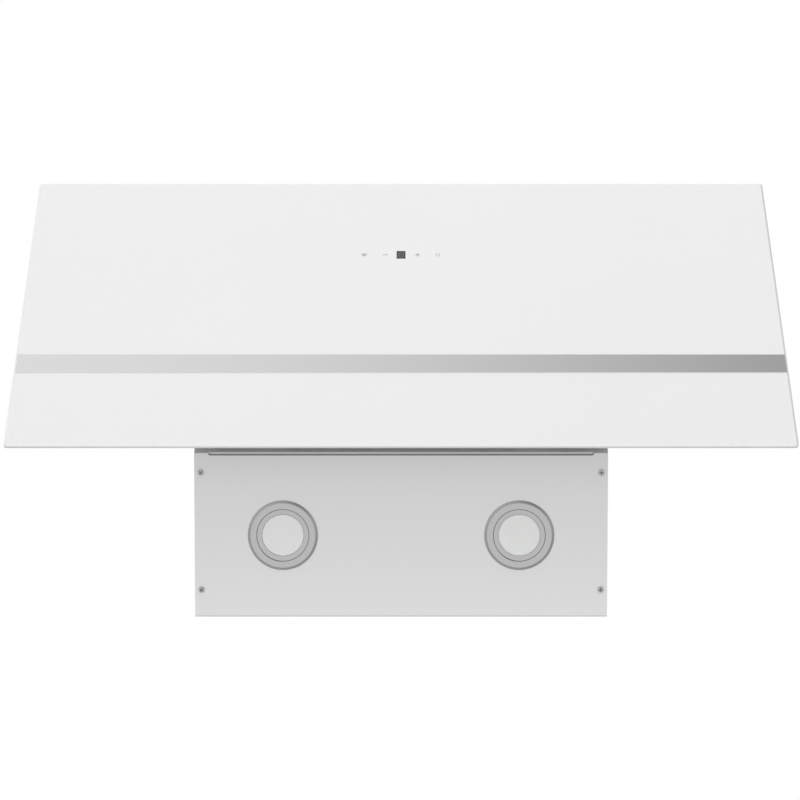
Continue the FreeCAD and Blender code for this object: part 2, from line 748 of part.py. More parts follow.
def filter_frame(side, sign):
    """Edge channel of a grease filter, open towards the mesh, with the slot for the latch tongue."""
    body = new_body(f"filter_frame_{side}")
    outline = sketch(body, lift=LEDGE_LEVEL)
    rectangle(outline, *window(sign, S.filter_clear))
    pad(body, outline, S.filter_thick)
    opening = sketch(body, lift=LEDGE_LEVEL + S.filter_thick)
    rectangle(opening, *window(sign, S.filter_clear + S.channel_width))
    pocket(body, opening, S.filter_thick)
    channel = sketch(body, lift=LEDGE_LEVEL + S.filter_thick - S.channel_sheet)
    rectangle(channel, *window(sign, S.filter_clear + S.channel_sheet))
    pocket(body, channel, S.filter_thick - 2 * S.channel_sheet)
    tongue_slot(body, sign, FILTER_HIGH - 2 * S.channel_sheet, 3 * S.channel_sheet)
    place_on_slope(body)


def rectangle_wire(x0, y0, x1, y1, z):
    """Closed rectangle at a height."""
    corners = [(x0, y0), (x1, y0), (x1, y1), (x0, y1), (x0, y0)]
    return Part.makePolygon([FreeCAD.Vector(x, y, z) for x, y in corners])


def filter_mesh(side, sign):
    """Metal filter pack: a plate with rows of diamond openings, cut out round the latch cup."""
    x0, y0, x1, y1 = [edge.value for edge in window(sign, S.filter_clear + S.channel_sheet)]
    low = LEDGE_LEVEL.value + S.channel_sheet.value
    thick = S.filter_thick.value - 2 * S.channel_sheet.value
    margin = S.channel_width.value
    columns, rows = int(S.mesh_columns.value), int(S.mesh_rows.value)
    cup_low = FILTER_HIGH.value - S.channel_width.value - S.latch_cup_length.value
    field_high = cup_low - S.mesh_bar_x.value
    pitch_x = (x1 - x0 - 2 * margin) / columns
    pitch_y = (field_high - y0 - margin) / rows
    half_x, half_y = (pitch_x - S.mesh_bar_x.value) / 2, (pitch_y - S.mesh_bar_y.value) / 2
    plate = Part.Face(rectangle_wire(x0, y0, x1, y1, low)).extrude(FreeCAD.Vector(0, 0, thick))
    diamonds = []
    for column in range(columns):
        for row in range(rows):
            cx = x0 + margin + pitch_x * (column + 0.5)
            cy = y0 + margin + pitch_y * (row + 0.5)
            corners = [(cx - half_x, cy), (cx, cy - half_y), (cx + half_x, cy), (cx, cy + half_y)]
            ring = [FreeCAD.Vector(x, y, low) for x, y in corners + corners[:1]]
            diamonds.append(Part.Face(Part.makePolygon(ring)).extrude(FreeCAD.Vector(0, 0, thick)))
    middle = window_middle(sign).value
    half_cup = S.latch_cup_width.value / 2
    gap = Part.Face(rectangle_wire(middle - half_cup, cup_low, middle + half_cup, y1, low))
    mesh = doc.addObject("Part::Feature", f"filter_mesh_{side}")
    mesh.Shape = plate.cut(Part.makeCompound(diamonds)).cut(gap.extrude(FreeCAD.Vector(0, 0, thick)))
    place_on_slope(named(mesh, f"filter_mesh_{side}"))


def latch_cup(side, sign):
    """Open tray in the filter that guides the latch slider."""
    middle = window_middle(sign)
    half = S.latch_cup_width / 2
    high = FILTER_HIGH - S.channel_width
    low = high - S.latch_cup_length
    body = new_body(f"latch_cup_{side}")
    floor = LEDGE_LEVEL + S.channel_sheet
    outline = sketch(body, lift=floor)
    rectangle(outline, middle - half, low, middle + half, high)
    pad(body, outline, S.filter_thick - S.channel_sheet)
    hollow = sketch(body, lift=LEDGE_LEVEL + S.filter_thick)
    wall = S.latch_wall
    rectangle(hollow, middle - half + wall, low + wall, middle + half - wall, high - wall)
    pocket(body, hollow, S.filter_thick - S.channel_sheet - wall)
    tongue_slot(body, sign, high - 2 * wall, 3 * wall)
    place_on_slope(body)


def filter_latch(side, sign):
    """Sliding latch with its finger groove and the tongue that reaches behind the recess wall."""
    middle = window_middle(sign)
    high = FILTER_HIGH - S.channel_width - S.latch_wall - S.latch_clear
    tip = WINDOW_HIGH + S.recess_wall + S.tongue_grip
    half, tongue = S.latch_width / 2, S.tongue_width / 2
    body = new_body(f"filter_latch_{side}")
    plan = sketch(body, lift=SLIDER_LEVEL)
    rectangle(plan, middle - half, high - S.latch_length, middle + half, high)
    pad(body, plan, S.latch_thick)
    reach = sketch(body, lift=TONGUE_LEVEL - S.tongue_thick / 2)
    rectangle(reach, middle - tongue, high - S.latch_length / 2, middle + tongue, tip)
    pad(body, reach, S.tongue_thick)
    groove = sketch(body, lift=SLIDER_LEVEL + S.latch_thick)
    inset = S.groove_inset
    groove_half, groove_low = half - inset, high - S.latch_length + inset
    rectangle(groove, middle - groove_half, groove_low, middle + groove_half, high - inset)
    pocket(body, groove, S.groove_depth)
    place_on_slope(body)


# Lamps

def lamp_tube_r():
    """Outer radius of the lamp's tube through the plate."""
    return S.bezel_bore / 2 + S.bezel_wall


def lamp(side, sign):
    """Outer ring, inner ring, lens and finned module of one lamp."""
    bore, tube = S.bezel_bore / 2, lamp_tube_r()
    rim, drop = S.bezel_dia / 2, S.bezel_height
    lens = S.lens_dia / 2
    fit = bore - S.lamp_clear
    seat = S.lens_thick
    bezel = new_body(f"lamp_bezel_{side}")
    revolve(bezel, [
        (bore, -drop), (rim - S.bezel_slant, -drop), (rim, -drop / 4), (rim, 0), (tube, 0),
        (tube, S.lamp_neck), (bore, S.lamp_neck)])
    ring = new_body(f"lamp_ring_{side}")
    revolve(ring, [
        (fit, -drop / 2), (fit, S.lamp_neck), (lens - seat / 2, S.lamp_neck), (lens - seat / 2, seat),
        (lens + S.lamp_clear, seat), (lens + S.lamp_clear, 0)])
    glass = new_body(f"lamp_lens_{side}")
    revolve(glass, [
        (0, 0), (lens - seat / 4, 0), (lens, seat / 4), (lens, seat), (0, seat)])
    module = new_body(f"lamp_module_{side}")
    revolve(module, [
        (0, S.lamp_neck), (tube, S.lamp_neck), (tube, S.lamp_neck + S.heatsink_height),
        (0, S.lamp_neck + S.heatsink_height)])
    fin_pitch = S.heatsink_height / (S.fin_count + 1)
    for number in range(int(S.fin_count.value)):
        level = S.lamp_neck + fin_pitch * (number + 1)
        ring_cut = sketch(module, "XY_Plane", level + S.fin_gap / 2)
        circle(ring_cut, 0, 0, tube + S.fin_gap)
        circle(ring_cut, 0, 0, lens)
        pocket(module, ring_cut, S.fin_gap)
    for piece in (bezel, ring, glass, module):
        place(piece, sign * LAMP_X, -S.lamp_depth, UNDERSIDE)


def lamp_clip(x, way):
    """Bent spring strip from the lamp's tube out to the plate."""
    tube, thick, reach = lamp_tube_r(), S.clip_sheet, S.clip_reach
    foot = S.panel_sheet
    profile = [
        (tube, S.lamp_neck - 3 * thick), (tube, S.lamp_neck), (tube + thick, S.lamp_neck),
        (tube + reach, foot + thick), (tube + reach, foot), (tube + reach - 2 * thick, foot),
        (tube + thick, S.lamp_neck - 3 * thick)]
    drawing = doc.addObject("Sketcher::SketchObject", "clip_outline")
    turn = FreeCAD.Rotation(FreeCAD.Vector(1, 0, 0), 90)
    drawing.Placement = FreeCAD.Placement(FreeCAD.Vector(0, 0, 0), turn)
    bind(drawing, ".Placement.Base.x", x)
    bind(drawing, ".Placement.Base.y", S.clip_width / 2 - S.lamp_depth)
    bind(drawing, ".Placement.Base.z", UNDERSIDE)
    loop(drawing, [(way * r, z) for r, z in profile])
    strip = doc.addObject("Part::Extrusion", "clip")
    strip.Base = drawing
    strip.DirMode = "Normal"
    strip.Solid = True
    bind(strip, "LengthFwd", S.clip_width)
    return strip


# Blower

def scroll_outline(inset):
    """Outline of the scroll in (y, z): three growing quarter arcs, then the outlet up to the top."""
    first = S.impeller_dia / 2 + S.scroll_clear
    step = S.scroll_step
    second, third = first + step, first + 2 * step
    high = S.body_height - S.panel_sheet - S.blower_height
    middle = S.collar_depth - S.blower_depth
    half = COLLAR_R - S.collar_wall - S.scroll_wall
    tongue = [(as_dim(0), first)] if inset.value == 0 else [(inset, first), (as_dim(0), first - inset)]
    walls = [
        (inset - first, as_dim(0)), (step, inset - second), (step + third - inset, step),
        (middle + half - inset, high), (middle - half + inset, high)]
    points = [(-(S.blower_depth + ahead), BLOWER_Z + up) for ahead, up in tongue + walls]
    start = len(tongue) - 1
    arcs = {start: (first - inset, -1), start + 1: (second - inset, -1), start + 2: (third - inset, -1)}
    return points, arcs


def blower_shell(side, sign):
    """Half of the scroll housing with its inlet rim and the flange under the top panel."""
    body = new_body(f"blower_shell_{side}")
    wall = S.scroll_wall
    outline = sketch(body, "YZ_Plane")
    loop(outline, *scroll_outline(as_dim(0)))
    pad(body, outline, SCROLL_HALF, reverse=sign < 0)
    rim = sketch(body, "YZ_Plane", sign * SCROLL_HALF)
    circle(rim, -S.blower_depth, BLOWER_Z, S.inlet_dia / 2 + wall)
    pad(body, rim, S.inlet_lip, reverse=sign < 0)
    middle, half = S.collar_depth, COLLAR_R - S.collar_wall - wall
    plan = sketch(body, "XY_Plane", TOP - S.panel_sheet)
    edge = S.scroll_flange
    rectangle(plan, 0, -(middle + half + edge), sign * (SCROLL_HALF + edge), edge - middle + half)
    pad(body, plan, wall, reverse=True)
    hollow = sketch(body, "YZ_Plane")
    loop(hollow, *scroll_outline(wall))
    pocket(body, hollow, SCROLL_HALF - wall, reverse=sign > 0)
    inlet = sketch(body, "YZ_Plane")
    circle(inlet, -S.blower_depth, BLOWER_Z, S.inlet_dia / 2)
    pocket(body, inlet, SCROLL_HALF + 2 * S.inlet_lip, reverse=sign > 0)


def on_blower_axis(item):
    """Set a piece drawn round Z on the blower's axis, with its Z along +X."""
    return place(item, 0, -S.blower_depth, BLOWER_Z, (0, 1, 0), 90)


def impeller():
    """Double inlet impeller: hub, disc, forward curved blades and two end rings."""
    body = new_body("impeller")
    tip, root = S.impeller_dia / 2, S.impeller_dia / 2 - S.blade_depth
    hub, half_hub, half_disc = S.hub_dia / 2, S.hub_length / 2, S.disc_thick / 2
    bore = S.shaft_dia / 2
    disc = tip - S.disc_thick
    revolve(body, [
        (bore, -half_hub), (hub, -half_hub), (hub, -half_disc), (disc, -half_disc), (disc, half_disc),
        (hub, half_disc), (hub, half_hub), (bore, half_hub)])
    section = sketch(body)
    sweep, width = S.blade_sweep, S.blade_angle
    loop(section, [
        (root, 0), (tip * cos(sweep), tip * sin(sweep)),
        (tip * cos(sweep + width), tip * sin(sweep + width)), (root * cos(width), root * sin(width))],
        {0: (S.blade_radius, 1), 2: (S.blade_radius, -1)})
    repeat_round(body, pad(body, section, S.impeller_width, both=True), S.blade_count)
    for sign in (-1, 1):
        ring = sketch(body, "XY_Plane", sign * S.impeller_width / 2)
        circle(ring, 0, 0, tip + S.ring_lip)
        circle(ring, 0, 0, tip - S.end_ring)
        pad(body, ring, S.end_ring, reverse=sign > 0)
    on_blower_axis(body)


def motor():
    """Motor with bevelled end bells and a blind bore for its shaft."""
    body = new_body("motor")
    radius, bevel = S.motor_dia / 2, S.motor_bevel
    bore = S.shaft_dia / 2 + S.shaft_clear
    boss = S.hub_dia / 2 - S.motor_boss
    bore_end = MOTOR_FRONT - S.motor_length / 2
    revolve(body, [
        (0, MOTOR_REAR), (radius - bevel, MOTOR_REAR), (radius, MOTOR_REAR + bevel),
        (radius, MOTOR_FRONT - bevel), (radius - bevel, MOTOR_FRONT), (boss, MOTOR_FRONT),
        (boss, MOTOR_FRONT + S.motor_boss), (bore, MOTOR_FRONT + S.motor_boss), (bore, bore_end),
        (0, bore_end)])
    on_blower_axis(body)
    shaft = new_body("motor_shaft")
    section = sketch(shaft, "XY_Plane", bore_end + S.disc_thick)
    circle(section, 0, 0, S.shaft_dia / 2)
    pad(shaft, section, S.hub_length / 2 - bore_end - S.disc_thick)
    on_blower_axis(shaft)


def motor_bracket():
    """Three armed plate behind the motor, on rubber mounts at the rim of the inlet."""
    body = new_body("motor_bracket")
    seat = S.motor_dia / 2 - S.motor_bevel
    plate = sketch(body, "XY_Plane", MOTOR_REAR)
    circle(plate, 0, 0, seat)
    pad(body, plate, S.bracket_sheet, reverse=True)
    arm = sketch(body, "XY_Plane", MOTOR_REAR)
    half = S.bracket_arm / 2
    end = GROMMET_R + half
    loop(arm, [(seat / 2, -half), (GROMMET_R, -half), (end, 0), (GROMMET_R, half), (seat / 2, half)],
         {1: (half, 1), 2: (half, 1)})
    repeat_round(body, pad(body, arm, S.bracket_sheet, reverse=True), ARM_COUNT)
    on_blower_axis(body)
    length = -MOTOR_REAR - SCROLL_HALF
    mounts = []
    for number in range(ARM_COUNT):
        turn = 360 / ARM_COUNT * number
        x, y = GROMMET_R * cos(turn), GROMMET_R * sin(turn)
        mounts.append(rod(S.grommet_dia / 2, length, x, y, MOTOR_REAR))
    on_blower_axis(group("motor_grommets", mounts))


def capacitor():
    """Motor capacitor that stands on the left side panel."""
    body = new_body("capacitor")
    radius, length, step = S.capacitor_dia / 2, S.capacitor_length, S.capacitor_step
    revolve(body, [
        (0, 0), (radius, 0), (radius, length - step), (radius - step, length),
        (step, length), (step, length + 2 * step), (0, length + 2 * step)])
    place(body, S.panel_sheet - HALF_WIDTH, -S.blower_depth, UNDERSIDE + S.capacitor_height, (0, 1, 0), 90)


# Electrics

def control_box():
    """Plastic box on the right side panel, and its lid."""
    rear, low = -S.box_setback, UNDERSIDE + S.box_rise
    front, high = rear - S.box_length, low + S.box_height
    wall, seat = S.box_wall, HALF_WIDTH - S.panel_sheet
    box = new_body("control_box")
    outline = sketch(box, "YZ_Plane", seat)
    rectangle(outline, front, low, rear, high)
    pad(box, outline, S.box_depth - wall, reverse=True)
    hollow = sketch(box, "YZ_Plane", seat - wall)
    rectangle(hollow, front + wall, low + wall, rear - wall, high - wall)
    pocket(box, hollow, S.box_depth)
    lid = new_body("control_box_lid")
    cover = sketch(lid, "YZ_Plane", seat - S.box_depth + wall)
    rectangle(cover, front, low, rear, high)
    pad(lid, cover, wall, reverse=True)


def cable_gland():
    """Cable gland in the top panel, with its head above and its nut below."""
    body = new_body("cable_gland")
    neck, bore = S.gland_dia / 2, S.gland_bore / 2
    head, tall = neck + S.gland_head, S.gland_head
    under = -S.panel_sheet
    revolve(body, [
        (bore, under - 2 * tall), (neck, under - 2 * tall), (neck, under - tall), (head, under - tall),
        (head, under), (neck, under), (neck, 0), (head, 0), (head, tall), (neck, 2 * tall),
        (bore, 2 * tall)])
    place(body, GLAND_X, -S.gland_depth, TOP)


# Outlet collar

def duct_collar():
    """Round duct collar with its flange, the flaps' ledge and middle rib, and their pivot holes."""
    body = new_body("duct_collar")
    inner = COLLAR_R - S.collar_wall
    base = S.collar_base
    revolve(body, [
        (inner - S.flap_stop, 0), (COLLAR_R + S.collar_flange, 0), (COLLAR_R + S.collar_flange, base),
        (COLLAR_R, base), (COLLAR_R, S.collar_height), (inner, S.collar_height), (inner, base),
        (inner - S.flap_stop, base)])
    rib = sketch(body)
    half = S.flap_rib / 2
    reach = inner - S.flap_stop / 2
    rectangle(rib, -reach, -half, reach, half)
    pad(body, rib, base + S.flap_barrel_dia)
    pivots = sketch(body, "YZ_Plane")
    for sign in (-1, 1):
        circle(pivots, sign * S.flap_offset, FLAP_AXIS_Z - TOP, S.flap_pin_dia / 2 + S.flap_pin_clear)
    pocket(body, pivots, 3 * COLLAR_R, both=True)
    holes = sketch(body, "XY_Plane", base)
    for x, y in collar_screw_places():
        circle(holes, x, y + S.collar_depth, HOLE_R)
    pocket(body, holes, 2 * base)
    place(body, 0, -S.collar_depth, TOP)
    grip = base + S.panel_sheet + S.screw_head_height
    group("collar_screws", [screw(x, y, TOP + base, grip) for x, y in collar_screw_places()])


def damper_flap(label, sign):
    """Half round flap with its barrel and pivots; sign is its side of the collar along Y."""
    inner = COLLAR_R - S.collar_wall
    radius = inner - S.flap_clear
    disc = rod(radius, S.flap_thick, 0, 0, S.flap_rest + S.collar_base)
    reach = 2 * COLLAR_R
    y0, y1 = (S.flap_offset, reach) if sign > 0 else (-reach, -S.flap_offset)
    half = doc.addObject("Part::Common", "half_disc")
    half.Base = disc
    half.Tool = block(-reach, y0, -reach, reach, y1, reach)
    axis_z = FLAP_AXIS_Z - TOP
    y = sign * S.flap_offset
    barrel_end = inner - 2 * S.flap_clear
    barrel = rod(S.flap_barrel_dia / 2, 2 * barrel_end, -barrel_end, y, axis_z, **ALONG_X)
    pin_end = COLLAR_R - S.flap_pin_inset
    pins = rod(S.flap_pin_dia / 2, 2 * pin_end, -pin_end, y, axis_z, **ALONG_X)
    place(named(fuse(half, barrel, pins), label), 0, -S.collar_depth, TOP)


# Chimney

def cover_outline(width, front, rear, wall, fold):
    """Three sided cover with bent corners and folded rear edges, as (x, y) points and their arcs."""
    bend = S.chimney_bend
    outer, inner = width / 2, width / 2 - wall
    straight, low, high = outer - bend, front + bend, rear - bend
    points = [
        (-outer, high), (-outer, low), (-straight, front), (straight, front), (outer, low), (outer, high),
        (straight, rear), (outer - fold, rear), (outer - fold, rear - wall), (straight, rear - wall),
        (inner, high), (inner, low), (straight, front + wall), (-straight, front + wall), (-inner, low),
        (-inner, high), (-straight, rear - wall), (fold - outer, rear - wall), (fold - outer, rear),
        (-straight, rear)]
    arcs = {step: (bend, 1) for step in (1, 3, 5, 19)}
    arcs.update({step: (bend - wall, -1) for step in (9, 11, 13, 15)})
    return points, arcs


def lower_chimney():
    """Lower cover on the casing, and the two clips that hold its foot."""
    body = new_body("lower_chimney")
    plan = sketch(body, "XY_Plane", TOP)
    wall = S.chimney_sheet
    loop(plan, *cover_outline(S.chimney_width, -S.chimney_depth, as_dim(0), wall, S.chimney_fold))
    pad(body, plan, S.chimney_height)
    clips = []
    for _, sign in SIDES:
        seat = sign * (S.chimney_width / 2 - wall)
        foot = sign * (S.chimney_width / 2 - wall - S.clip_height)
        thick = sign * S.bracket_thick
        y0 = -(S.chimney_depth + S.chimney_clip_length) / 2
        y1 = y0 + S.chimney_clip_length
        low, high = (seat - thick, seat) if sign > 0 else (seat, seat - thick)
        upright = block(low, y0, TOP, high, y1, TOP + S.clip_height)
        low, high = (foot, seat) if sign > 0 else (seat, foot)
        clips.append(fuse(upright, block(low, y0, TOP, high, y1, TOP + S.bracket_thick)))
    group("chimney_clips", clips)


def upper_chimney():
    """Sliding upper cover with vent slots in both sides, standing on the clips when lowered."""
    body = new_body("upper_chimney")
    wall = S.chimney_sheet
    plan = sketch(body, "XY_Plane", UPPER_LOW)
    front = UPPER_SETBACK - S.chimney_depth
    loop(plan, *cover_outline(upper_width(), front, -UPPER_SETBACK, wall, S.chimney_fold))
    pad(body, plan, UPPER_HIGH - UPPER_LOW)
    slots = sketch(body, "YZ_Plane")
    middle, half, round_r = -S.chimney_depth / 2, S.slot_length / 2, S.slot_width / 2
    for number in range(int(S.slot_count.value)):
        level = UPPER_HIGH - S.slot_drop - number * S.slot_pitch
        loop(slots, [
            (middle - half, level - round_r), (middle + half, level - round_r),
            (middle + half + round_r, level), (middle + half, level + round_r),
            (middle - half, level + round_r), (middle - half - round_r, level)],
            {1: (round_r, 1), 2: (round_r, 1), 4: (round_r, 1), 5: (round_r, 1)})
    pocket(body, slots, 2 * S.chimney_width, both=True)
    holes = sketch(body, "YZ_Plane")
    circle(holes, *bracket_screw_place(), HOLE_R)
    pocket(body, holes, 2 * S.chimney_width, both=True)


def upper_width():
    """Outer width of the upper cover."""
    return S.chimney_width - 2 * UPPER_SETBACK


def bracket_screw_place():
    """Centre of the bracket's side screws, as (y, z)."""
    return -UPPER_SETBACK - S.bracket_ear / 2, UPPER_HIGH - S.chimney_peek / 2


def chimney_bracket():
    """Joggled wall bracket inside the top of the upper cover, and its two side screws."""
    body = new_body("chimney_bracket")
    thick, inner = S.bracket_thick, upper_width() / 2 - S.chimney_sheet
    step = UPPER_SETBACK + S.chimney_sheet
    knee = upper_width() / 2 - S.chimney_fold - step
    low = UPPER_HIGH - S.chimney_sheet - S.bracket_height
    bend, ear = S.chimney_bend, -step - S.bracket_ear
    half_way = [
        (knee - thick, 0), (knee + step - thick, -step), (inner - bend, -step), (inner, -step - bend),
        (inner, ear), (inner - thick, ear), (inner - thick, -step - thick),
        (knee + step - 2 * thick, -step - thick), (knee - 2 * thick, -thick)]
    mirrored = [(-x, y) for x, y in reversed(half_way)]
    plan = sketch(body, "XY_Plane", low)
    loop(plan, half_way + mirrored, {2: (bend, -1), 14: (bend, -1)})
    pad(body, plan, S.bracket_height)
    wall_holes = sketch(body, "XZ_Plane")
    for sign in (-1, 1):
        circle(wall_holes, sign * S.bracket_span / 2, low + S.bracket_height / 2, S.bracket_hole_dia / 2)
    pocket(body, wall_holes, 2 * thick, reverse=True)
    side_holes = sketch(body, "YZ_Plane")
    y, z = bracket_screw_place()
    circle(side_holes, y, z, HOLE_R)
    pocket(body, side_holes, 2 * S.chimney_width, both=True)
    screws = []
    seat = upper_width() / 2
    grip = S.chimney_sheet + thick + S.screw_head_height
    for _, sign in SIDES:
        head_start = seat if sign > 0 else -seat - S.screw_head_height
        shank_start = seat - grip if sign > 0 else -seat
        head = rod(S.screw_head_dia / 2, S.screw_head_height, head_start, y, z, **ALONG_X)
        screws.append(fuse(head, rod(SHANK_R, grip, shank_start, y, z, **ALONG_X)))
    group("chimney_bracket_screws", screws)


# Glass front panel, drawn flat on the slope

def glass_panel():
    """Glass with rounded corners, a ground edge and the display's inlay; its display and steel strip."""
    body = new_body("glass_panel")
    half, low = S.glass_width / 2, -S.glass_overhang
    high = low + S.glass_length
    face = S.panel_gap + S.glass_thick
    outline = sketch(body, lift=S.panel_gap)
    rectangle(outline, -half, low, half, high)
    slab = pad(body, outline, S.glass_thick)
    corners = body.newObject("PartDesign::Fillet", "glass_corners")
    corners.Base = (slab, edges_where(slab, lambda a, b: abs(a.z - b.z) > 1e-6))
    bind(corners, "Radius", S.glass_corner)
    bevel = body.newObject("PartDesign::Chamfer", "glass_bevel")
    top = face.value - 1e-3
    bevel.Base = (corners, edges_where(corners, lambda a, b: min(a.z, b.z) > top))
    bind(bevel, "Size", S.glass_bevel)
    x, y = S.display_width / 2, S.display_length / 2
    inlay = sketch(body, lift=face)
    rectangle(inlay, -x, DISPLAY_U - y, x, DISPLAY_U + y)
    pocket(body, inlay, S.display_inlay)
    place_on_slope(body)
    window_tile = block(-x, DISPLAY_U - y, face - S.display_inlay, x, DISPLAY_U + y, face)
    place_on_slope(group("display_window", [window_tile]))
    strip = new_body("steel_strip")
    section = sketch(strip, "YZ_Plane")
    middle, edge, thick = S.strip_height - S.glass_overhang, S.strip_width / 2, S.strip_sheet
    slant = thick / 2
    loop(section, [
        (middle - edge, face), (middle + edge, face), (middle + edge, face + slant),
        (middle + edge - slant, face + thick), (middle - edge + slant, face + thick),
        (middle - edge, face + slant)])
    pad(strip, section, S.glass_width - 2 * S.glass_bevel, both=True)
    place_on_slope(strip)


def backing_corners(inset):
    """Corners of the backing tray, a distance inside its edges, up to the hinges."""
    half = HALF_WIDTH - S.backing_inset - inset
    return -half, S.backing_bottom + inset, half, HINGE_U - 2 * S.hinge_barrel_dia


def panel_backing():
    """Steel tray behind the glass, folded on three sides, flat under the hinges; the tape on its face."""
    body = new_body("panel_backing")
    x0, y0, x1, fold_end = backing_corners(as_dim(0))
    face = S.panel_gap - S.tape_thick
    plan = sketch(body, lift=face)
    rectangle(plan, x0, y0, x1, HINGE_U + S.hinge_barrel_dia)
    pad(body, plan, S.backing_sheet, reverse=True)
    folds = sketch(body, lift=face)
    rectangle(folds, x0, y0, x1, fold_end)
    pad(body, folds, S.backing_fold, reverse=True)
    i0, j0, i1, _ = backing_corners(S.backing_sheet)
    hollow = sketch(body, lift=BACKING_LEVEL)
    rectangle(hollow, i0, j0, i1, fold_end + S.backing_sheet)
    pocket(body, hollow, S.backing_fold)
    x, y = S.board_width / 2 + S.board_clear, S.board_length / 2 + S.board_clear
    view = sketch(body, lift=face)
    rectangle(view, -x, DISPLAY_U - y, x, DISPLAY_U + y)
    pocket(body, view, 2 * S.backing_sheet)
    place_on_slope(body)
    width = S.tape_width
    high = HINGE_U + S.hinge_barrel_dia
    strips = [
        (x0, y0, x0 + width, high), (x1 - width, y0, x1, high), (x0 + width, y0, x1 - width, y0 + width)]
    tapes = [block(a, b, face, c, d, S.panel_gap) for a, b, c, d in strips]
    place_on_slope(group("bonding_tapes", tapes))


def touch_control():
    """Touch board against the glass, and the housing that holds it in the backing tray."""
    half_x, half_y = S.board_width / 2, S.board_length / 2
    wall, rim = S.housing_wall, S.housing_rim
    low, high = DISPLAY_U - half_y, DISPLAY_U + half_y
    board = block(-half_x, low, BACKING_LEVEL - wall, half_x, high, S.panel_gap)
    place_on_slope(group("touch_board", [board]))
    body = new_body("touch_housing")
    flange = sketch(body, lift=BACKING_LEVEL)
    x, y = half_x + S.board_clear + rim, half_y + S.board_clear + rim
    rectangle(flange, -x, DISPLAY_U - y, x, DISPLAY_U + y)
    pad(body, flange, wall, reverse=True)
    box = sketch(body, lift=BACKING_LEVEL)
    x, y = half_x + wall, half_y + wall
    rectangle(box, -x, DISPLAY_U - y, x, DISPLAY_U + y)
    pad(body, box, S.housing_depth, reverse=True)
    seat = sketch(body, lift=BACKING_LEVEL)
    rectangle(seat, -half_x, DISPLAY_U - half_y, half_x, DISPLAY_U + half_y)
    pocket(body, seat, wall)
    hollow = sketch(body, lift=BACKING_LEVEL)
    x, y = half_x - wall, half_y - wall
    rectangle(hollow, -x, DISPLAY_U - y, x, DISPLAY_U + y)
    pocket(body, hollow, S.housing_depth - wall)
    place_on_slope(body)


# Panel hinges, catches and bumpers, drawn flat on the slope

def knuckle(x0, x1, web_low, web_high):
    """One hinge knuckle between two places across, with its web and its bore."""
    half = S.hinge_barrel_dia / 2
    length = x1 - x0
    barrel = rod(half, length, x0, HINGE_U, S.hinge_rise, **ALONG_X)
    web = block(x0, HINGE_U - half, web_low, x1, HINGE_U + half, web_high)
    bore = rod(S.hinge_pin_dia / 2 + S.hinge_clear, length, x0, HINGE_U, S.hinge_rise, **ALONG_X)
    return cut(fuse(barrel, web), bore)


def hinges():
    """Two hinges: fixed leaves on the frame, moving leaves on the backing tray, and their pins."""
    fixed, moving, pins = [], [], []
    half, mid = S.hinge_width / 2, S.hinge_knuckle / 2
    leaf_low = HINGE_U - S.hinge_leaf_length
    leaf_high = HINGE_U + S.hinge_barrel_dia / 2
    for _, sign in SIDES:
        x = sign * (HALF_WIDTH - S.hinge_inset)
        leaf = block(x - half, leaf_low, 0, x + half, leaf_high, S.hinge_leaf)
        fixed.append(fuse(leaf, knuckle(x - mid, x + mid, S.hinge_leaf, S.hinge_rise)))
        level = BACKING_LEVEL - S.hinge_leaf
        plate = block(x - half, leaf_low, level, x + half, leaf_high, BACKING_LEVEL)
        outer = [knuckle(x - half, x - mid - S.knuckle_gap, S.hinge_rise, level),
                 knuckle(x + mid + S.knuckle_gap, x + half, S.hinge_rise, level)]
        moving.append(fuse(plate, *outer))
        pins.append(rod(S.hinge_pin_dia / 2, S.hinge_width, x - half, HINGE_U, S.hinge_rise, **ALONG_X))
    place_on_slope(group("hinge_fixed_leaves", fixed))
    place_on_slope(group("hinge_moving_leaves", moving))
    place_on_slope(group("hinge_pins", pins))


def catches():
    """Magnet catches on the frame, strike plates on the backing tray, and rubber bumpers on the frame."""
    magnets, strikes, bumpers = [], [], []
    half_x, half_u, sheet_thick = S.catch_width / 2, S.catch_length / 2, S.strike_sheet
    low, high = S.catch_height - half_u, S.catch_height + half_u
    for _, sign in SIDES:
        x = sign * (HALF_WIDTH - S.catch_inset)
        case = block(x - half_x, low, 0, x + half_x, high, S.catch_rise)
        groove = block(x - half_x / 2, low, S.catch_rise - sheet_thick, x + half_x / 2, high, S.catch_rise)
        magnets.append(cut(case, groove))
        level = S.catch_rise + S.catch_gap
        hat = block(x - half_x, low, level, x + half_x, high, BACKING_LEVEL)
        inner_x = half_x - sheet_thick
        hollow = block(x - inner_x, low, level + sheet_thick, x + inner_x, high, BACKING_LEVEL)
        strikes.append(cut(hat, hollow))
        bumper_x = sign * (HALF_WIDTH - S.bumper_inset)
        height = BACKING_LEVEL - S.catch_gap
        bumpers.append(rod(S.bumper_dia / 2, height, bumper_x, S.catch_height, 0))
    place_on_slope(group("magnet_catches", magnets))
    place_on_slope(group("strike_plates", strikes))
    place_on_slope(group("panel_bumpers", bumpers))


